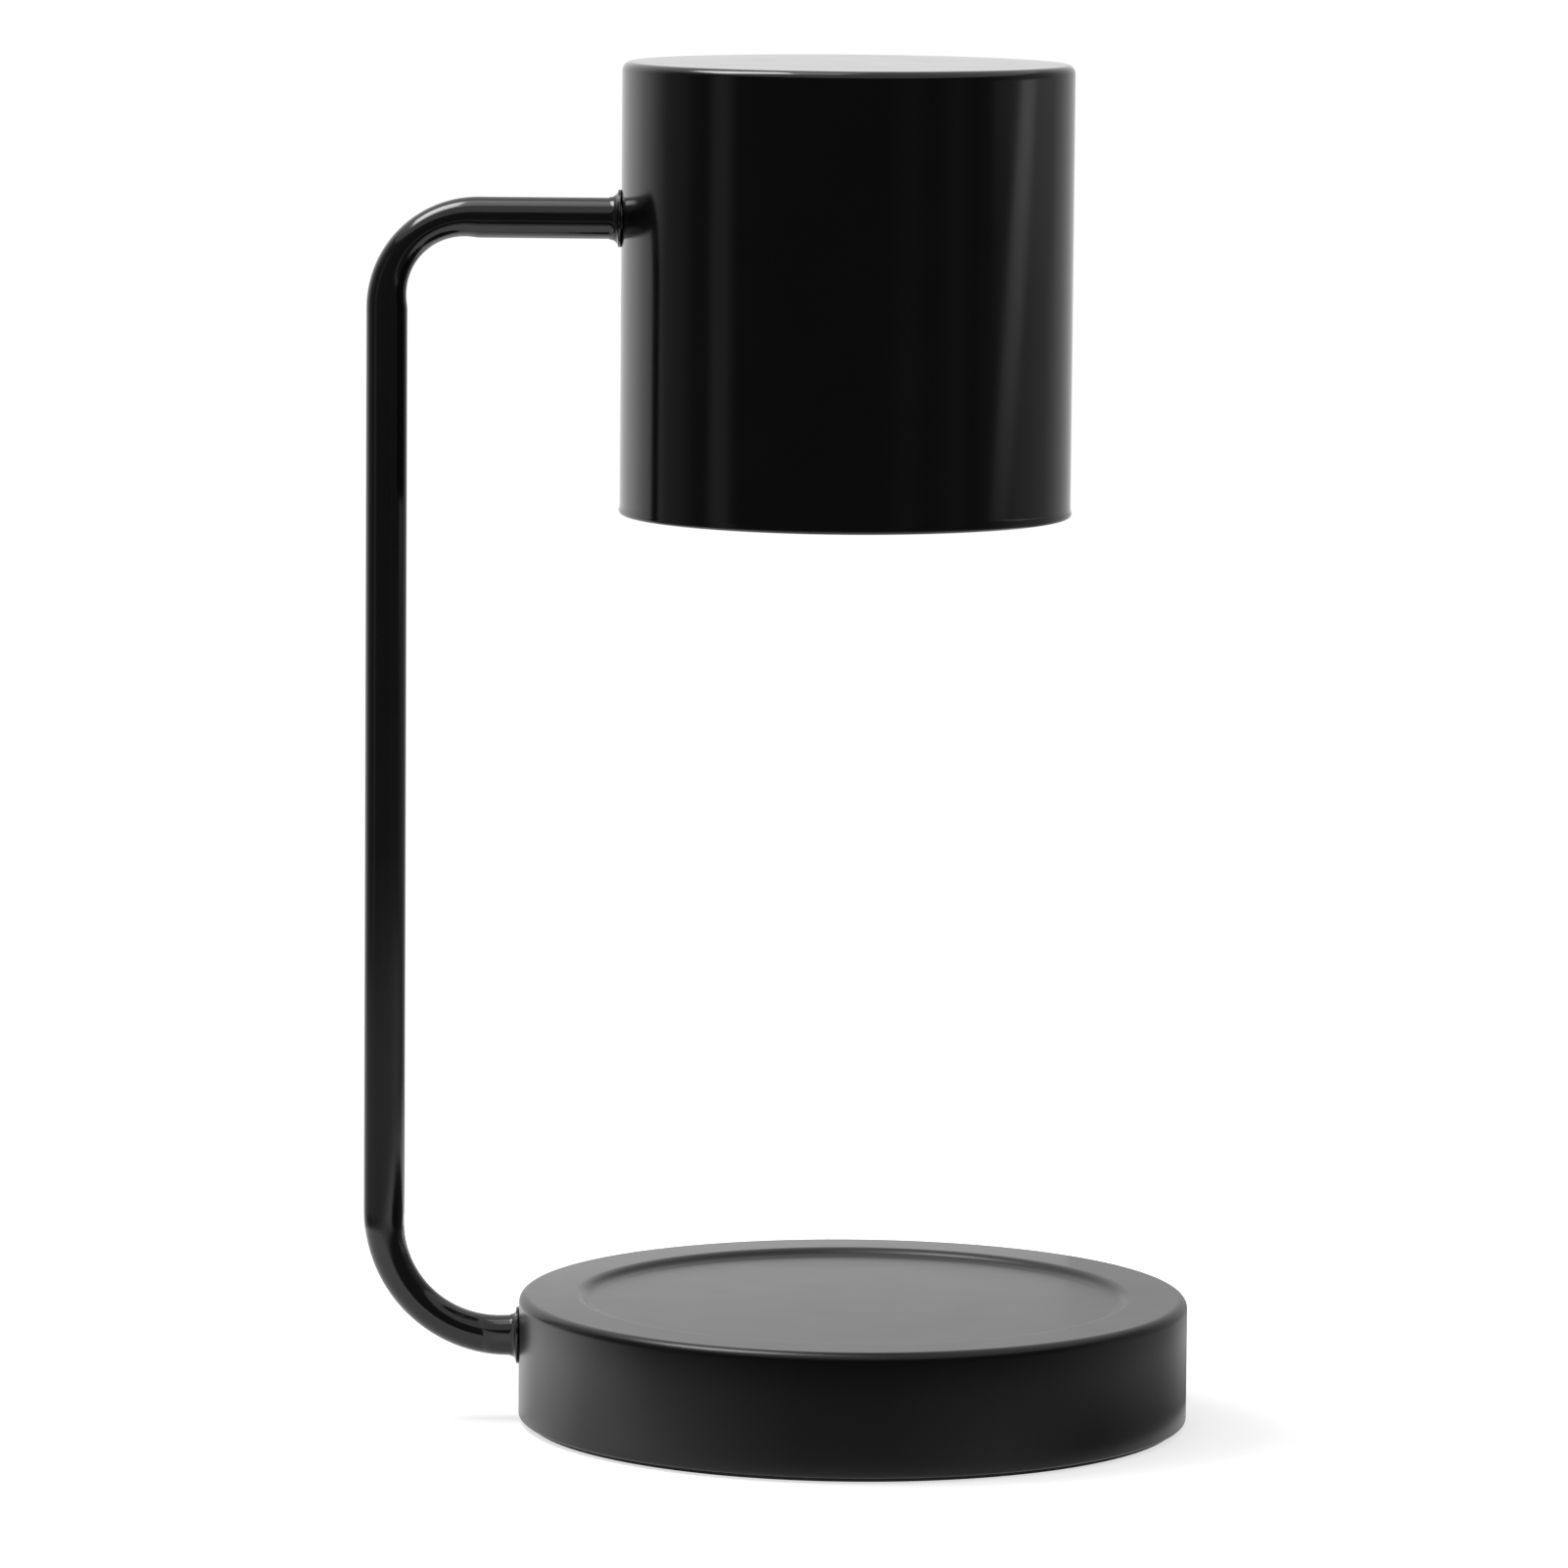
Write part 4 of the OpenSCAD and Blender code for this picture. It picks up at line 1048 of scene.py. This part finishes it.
coil_lo_z = filament_lo.z
coil_hi_z = coil_lo_z + COIL_L
filament_sizes = {
    "Coil radius": COIL_R, "Coil height": COIL_L, "Wire radius": WIRE_R, "Turns": COIL_TURNS,
    "Coil foot": (shade_x, 0.0, coil_lo_z)}
coil_tree, wire_size = new_tree("filament", filament_sizes)
winding = spiral(
    coil_tree, wire_size["Turns"], wire_size["Coil radius"], wire_size["Coil height"], COIL_STEPS)
coil = swept(coil_tree, winding, wire_size["Wire radius"], WIRE_SIDES, caps=True)
wires = [moved(coil_tree, coil, wire_size["Coil foot"])]
for start, end, radius in (
        ((shade_x - POST_X, 0, coil_lo_z), (shade_x - POST_X, 0, filament_hi.z), POST_R),
        ((shade_x + POST_X, 0, coil_hi_z - POST_OVER), (shade_x + POST_X, 0, filament_hi.z), POST_R),
        ((shade_x - POST_X, 0, coil_lo_z + ARM_IN), (shade_x - COIL_R, 0, coil_lo_z + ARM_IN), ARM_R),
        ((shade_x + COIL_R, 0, coil_hi_z - ARM_IN), (shade_x + POST_X, 0, coil_hi_z - ARM_IN), ARM_R)):
    wires.append(swept(coil_tree, straight(coil_tree, start, end), radius, POST_SIDES, caps=True))
close_tree(coil_tree, joined(coil_tree, wires), tungsten)
filament = grow("filament_wires", coil_tree, filament_sizes)
seal(filament)
finish_piece(filament, "bulb", "bulb_filament", "tungsten")

# %% [markdown]
# ## The studio
# The picture has a plain white ground. A world that is white to the camera, to
# reflections and through glass stands behind the lamp, while its plain grey level
# lights the matte surfaces. Black gloss shows nothing but its surroundings, so the
# reflections are laid out with care further down: white behind the lamp, a dark
# room on the camera's side, narrow strips beside it, and small cards at the base.

# %% World
WHITE = (1, 1, 1, 1)
AMBIENT = 0.62


def seen_by_lens(tree):
    """1 for what the camera sees, also in a reflection or through glass, and 0 for the rest."""
    path = step(tree, "ShaderNodeLightPath").outputs
    seen = maths(tree, "MAXIMUM", path["Is Camera Ray"], path["Is Glossy Ray"])
    return maths(tree, "MAXIMUM", seen, path["Is Transmission Ray"])


world = bpy.data.worlds.new("studio")
world.use_nodes = True
bpy.context.scene.world = world
sky = world.node_tree
matte_light = sky.nodes["Background"]
fill(sky, matte_light, {"Color": WHITE, "Strength": AMBIENT})
white_ground = step(sky, "ShaderNodeBackground", {"Color": WHITE, "Strength": 1.0})
sky_mix = step(sky, "ShaderNodeMixShader", {
    "Fac": seen_by_lens(sky), 1: matte_light.outputs["Background"], 2: white_ground.outputs["Background"]})
fill(sky, sky.nodes["World Output"], {"Surface": sky_mix.outputs["Shader"]})
print("world:", world.name, "level for matte surfaces:", AMBIENT)

# %% [markdown]
# The floor is a pale disc just under the lamp. It catches the lamp's soft shadow
# with a matte shader, and glows a little for the lens. The glow rises with the
# distance from the lamp, so the disc melts into the white ground before its edge.

# %% Floor
FLOOR_R = 0.27
FLOOR_GAP = 0.2 * MM
FLOOR_SIDES = 96
FLOOR_GREY = (0.5, 0.5, 0.5, 1)
MELT_FROM = 0.10
MELT_TO = 0.26
NEAR_GLOW = 0.64

floor_build = bmesh.new()
bmesh.ops.create_circle(floor_build, cap_ends=True, segments=FLOOR_SIDES, radius=FLOOR_R)
bmesh.ops.translate(floor_build, verts=floor_build.verts, vec=(0, 0, -FLOOR_GAP))
floor = built("floor", floor_build)

floor_finish, ground = bare_finish("pale_floor")
matte = step(ground, "ShaderNodeBsdfDiffuse", {"Color": FLOOR_GREY}).outputs["BSDF"]
reach = step(ground, "ShaderNodeVectorMath", {0: place(ground)}, operation="LENGTH").outputs["Value"]
melt = spread(ground, reach, NEAR_GLOW, 1.0, MELT_FROM, MELT_TO)
glow = maths(ground, "MULTIPLY", seen_by_lens(ground), melt)
shine = step(ground, "ShaderNodeEmission", {"Color": WHITE, "Strength": glow}).outputs["Emission"]
both = step(ground, "ShaderNodeAddShader", {0: matte, 1: shine}).outputs["Shader"]
step(ground, "ShaderNodeOutputMaterial", {"Surface": both})
floor.data.materials.append(floor_finish)
print("floor radius in mm:", round(FLOOR_R / MM))

# %% [markdown]
# ## The cards
# What the gloss shows is made of tall cards bent round the set. Each card is a band
# of a given radius, and its glow changes smoothly along its stops: a stop is an
# angle, counted from the camera's side with positive to the right, and how bright
# the card is there, where 1 is white. A card has two or three levels from its foot
# to its top, and each level takes a share of that glow. Those shares can change
# from the card's first stop to its last. Only reflections see a card: the camera,
# the shadows and the matte surfaces look through it. The glow is an attribute of
# the card's points, so all cards have one material.

# %% Make a card
CARD_STEP = 3.0

card_finish, card_tree = bare_finish("glow_card")
card_glow = step(card_tree, "ShaderNodeAttribute", attribute_name="glow").outputs["Fac"]
card_light = step(card_tree, "ShaderNodeEmission", {"Strength": card_glow}).outputs["Emission"]
step(card_tree, "ShaderNodeOutputMaterial", {"Surface": card_light})


def in_steps(stops):
    """The stops, with more of them between, no further apart than about CARD_STEP degrees."""
    fine = []
    for (start, glow_a), (end, glow_b) in zip(stops, stops[1:]):
        count = max(1, round((end - start) / CARD_STEP))
        fine += [(start + (end - start) * i / count, glow_a + (glow_b - glow_a) * i / count)
                 for i in range(count)]
    return fine + [stops[-1]]


def card(name, radius, heights, stops, shares=(1.0, 1.0), last_shares=None, lean_deg=0.0):
    """A bent upright card. Its top is turned lean_deg further round than its foot."""
    points, faces, glows = [], [], []
    for angle, glow in in_steps(stops):
        along = (angle - stops[0][0]) / (stops[-1][0] - stops[0][0])
        for z, first, last in zip(heights, shares, last_shares or shares):
            turn = math.radians(angle + lean_deg * (z - heights[0]) / (heights[-1] - heights[0]))
            points.append((radius * math.sin(turn), -radius * math.cos(turn), z))
            glows.append(glow * (first + (last - first) * along))
    levels = len(heights)
    for foot in range(0, len(points) - levels, levels):
        for corner in range(foot, foot + levels - 1):
            faces.append((corner, corner + levels, corner + levels + 1, corner + 1))
    mesh = bpy.data.meshes.new(name)
    mesh.from_pydata(points, [], faces)
    mesh.attributes.new("glow", "FLOAT", "POINT").data.foreach_set("value", glows)
    mesh.materials.append(card_finish)
    shape = put(name, mesh)
    for ray in ("camera", "diffuse", "transmission", "shadow", "volume_scatter"):
        setattr(shape, "visible_" + ray, False)
    print(name, "stops:", len(stops), "faces:", len(faces))


# %% [markdown]
# The large cards draw the long reflections on the shade and the tube. One is the
# dark room itself, which opens to the white ground behind the lamp. In front of it
# stand a narrow strip on the left, a slanted bright strip on the right with two
# softer cards beside its upper end, and a low band that is the pale table top
# further off.

# %% Cards round the room
DARK = 0.075
ROOM_R = 1.6
UPPER_R = 1.55
GLINT_R = 1.52
STRIP_R = 1.5
LOW_R = 1.45

card("card_room", ROOM_R, (-0.9, 1.3), [
    (-133, 0.95), (-120, 0.70), (-104, 0.20), (-92, 0.17), (-82, DARK), (18, DARK), (30, 0.11), (43, DARK),
    (56, 0.12), (66, DARK), (80, 0.12), (96, 0.28), (120, 0.30), (136, 0.48), (152, 0.68), (172, 0.90)])
card("card_strip_left", STRIP_R, (-0.6, 0.9), [(-75, DARK), (-70, 0.30), (-64, 0.30), (-58, DARK)])
card("card_strip_right", STRIP_R, (0.02, 0.26), [(70, DARK), (74, 1.0), (81, 1.0), (87, 0.30)],
     shares=(0.05, 1.38), lean_deg=26.0)
card("card_glint_right", GLINT_R, (0.17, 0.27), [(74, 0.10), (79, 0.36), (100, 0.38)],
     shares=(0.25, 1.0))
card("card_upper_right", UPPER_R, (0.17, 0.27), [(100, 0.28), (106, 0.60), (116, 0.52), (128, 0.40)],
     shares=(0.6, 1.0))
card("card_low_front", LOW_R, (-0.20, -0.11, -0.085), [
    (-125, 0.75), (-100, 0.55), (20, 0.65), (64, 0.80), (86, 0.60), (108, 0.30)], shares=(1.0, 1.0, 0.1))

# %% [markdown]
# The base's satin side is darker under its shoulder and at the right end of its
# foot, and it sees little further than the table top. So small cards stand close
# round it. The left, front and right ones have shares of their own, and two more
# between them turn from one set of shares to the next without a seam. A low card
# behind the base brightens the far half of its top.

# %% Cards close round the base
BASE_CARD_R = 83 * MM
REAR_CARD_R = 88 * MM
BASE_CARD_HEIGHTS = (0.5 * MM, 17 * MM, 27 * MM)
REAR_CARD_HEIGHTS = (29 * MM, 37 * MM, 48 * MM)
LEFT_SHARES = (0.7, 1.0, 0.8)
FRONT_SHARES = (1.4, 1.0, 0.22)
RIGHT_SHARES = (0.3, 1.0, 0.7)
REAR_SHARES = (1.3, 1.15, 1.0)

card("card_base_left", BASE_CARD_R, BASE_CARD_HEIGHTS, [
    (-90, 1.3), (-81, 1.4), (-73, 1.6), (-66, 1.75), (-60, 1.50)], LEFT_SHARES)
card("card_base_turn_left", BASE_CARD_R, BASE_CARD_HEIGHTS, [
    (-60, 1.50), (-50, 1.30), (-40, 0.85)], LEFT_SHARES, FRONT_SHARES)
card("card_base_front", BASE_CARD_R, BASE_CARD_HEIGHTS, [
    (-40, 0.85), (-30, 0.60), (-20, 0.42), (-10, 0.29), (6, 0.27), (18, 0.36), (28, 0.42)], FRONT_SHARES)
card("card_base_turn_right", BASE_CARD_R, BASE_CARD_HEIGHTS, [
    (28, 0.42), (38, 0.43), (50, 0.48)], FRONT_SHARES, RIGHT_SHARES)
card("card_base_right", BASE_CARD_R, BASE_CARD_HEIGHTS, [
    (50, 0.48), (54, 0.50), (66, 0.55), (76, 0.52), (84, 0.62), (92, 0.85), (101, 0.80), (112, 0.55),
    (128, 0.40)], RIGHT_SHARES)
card("card_base_rear", REAR_CARD_R, REAR_CARD_HEIGHTS, [
    (145, 1.0), (165, 1.04), (200, 1.08), (230, 1.08), (245, 1.0)], REAR_SHARES)

# %% [markdown]
# ## The lights
# Two soft boxes light the set. The wide one hangs overhead and gives the floor its
# soft shadow. The smaller, brighter one stands high on the left: it is what draws
# the short bright crescents on the front left of both rims.

# %% Soft boxes
def soft_box(name, spot, target, width, depth, power):
    """An area light that faces a target."""
    data = bpy.data.lights.new(name, "AREA")
    data.shape = "RECTANGLE"
    data.size = width
    data.size_y = depth
    data.energy = power
    light = put(name, data)
    direction = Vector(target) - Vector(spot)
    facing = direction.to_track_quat("-Z", "Y").to_matrix().to_4x4()
    light.matrix_world = Matrix.Translation(Vector(spot)) @ facing
    light.visible_camera = False
    print(name, "watts:", power)


lamp_middle = (0.0, 0.0, 0.15)
soft_box("box_above", (-0.45, 0.10, 1.50), lamp_middle, width=0.90, depth=1.00, power=6.0)
soft_box("box_left", (-0.56, 0.10, 1.25), lamp_middle, width=0.50, depth=0.60, power=10.0)
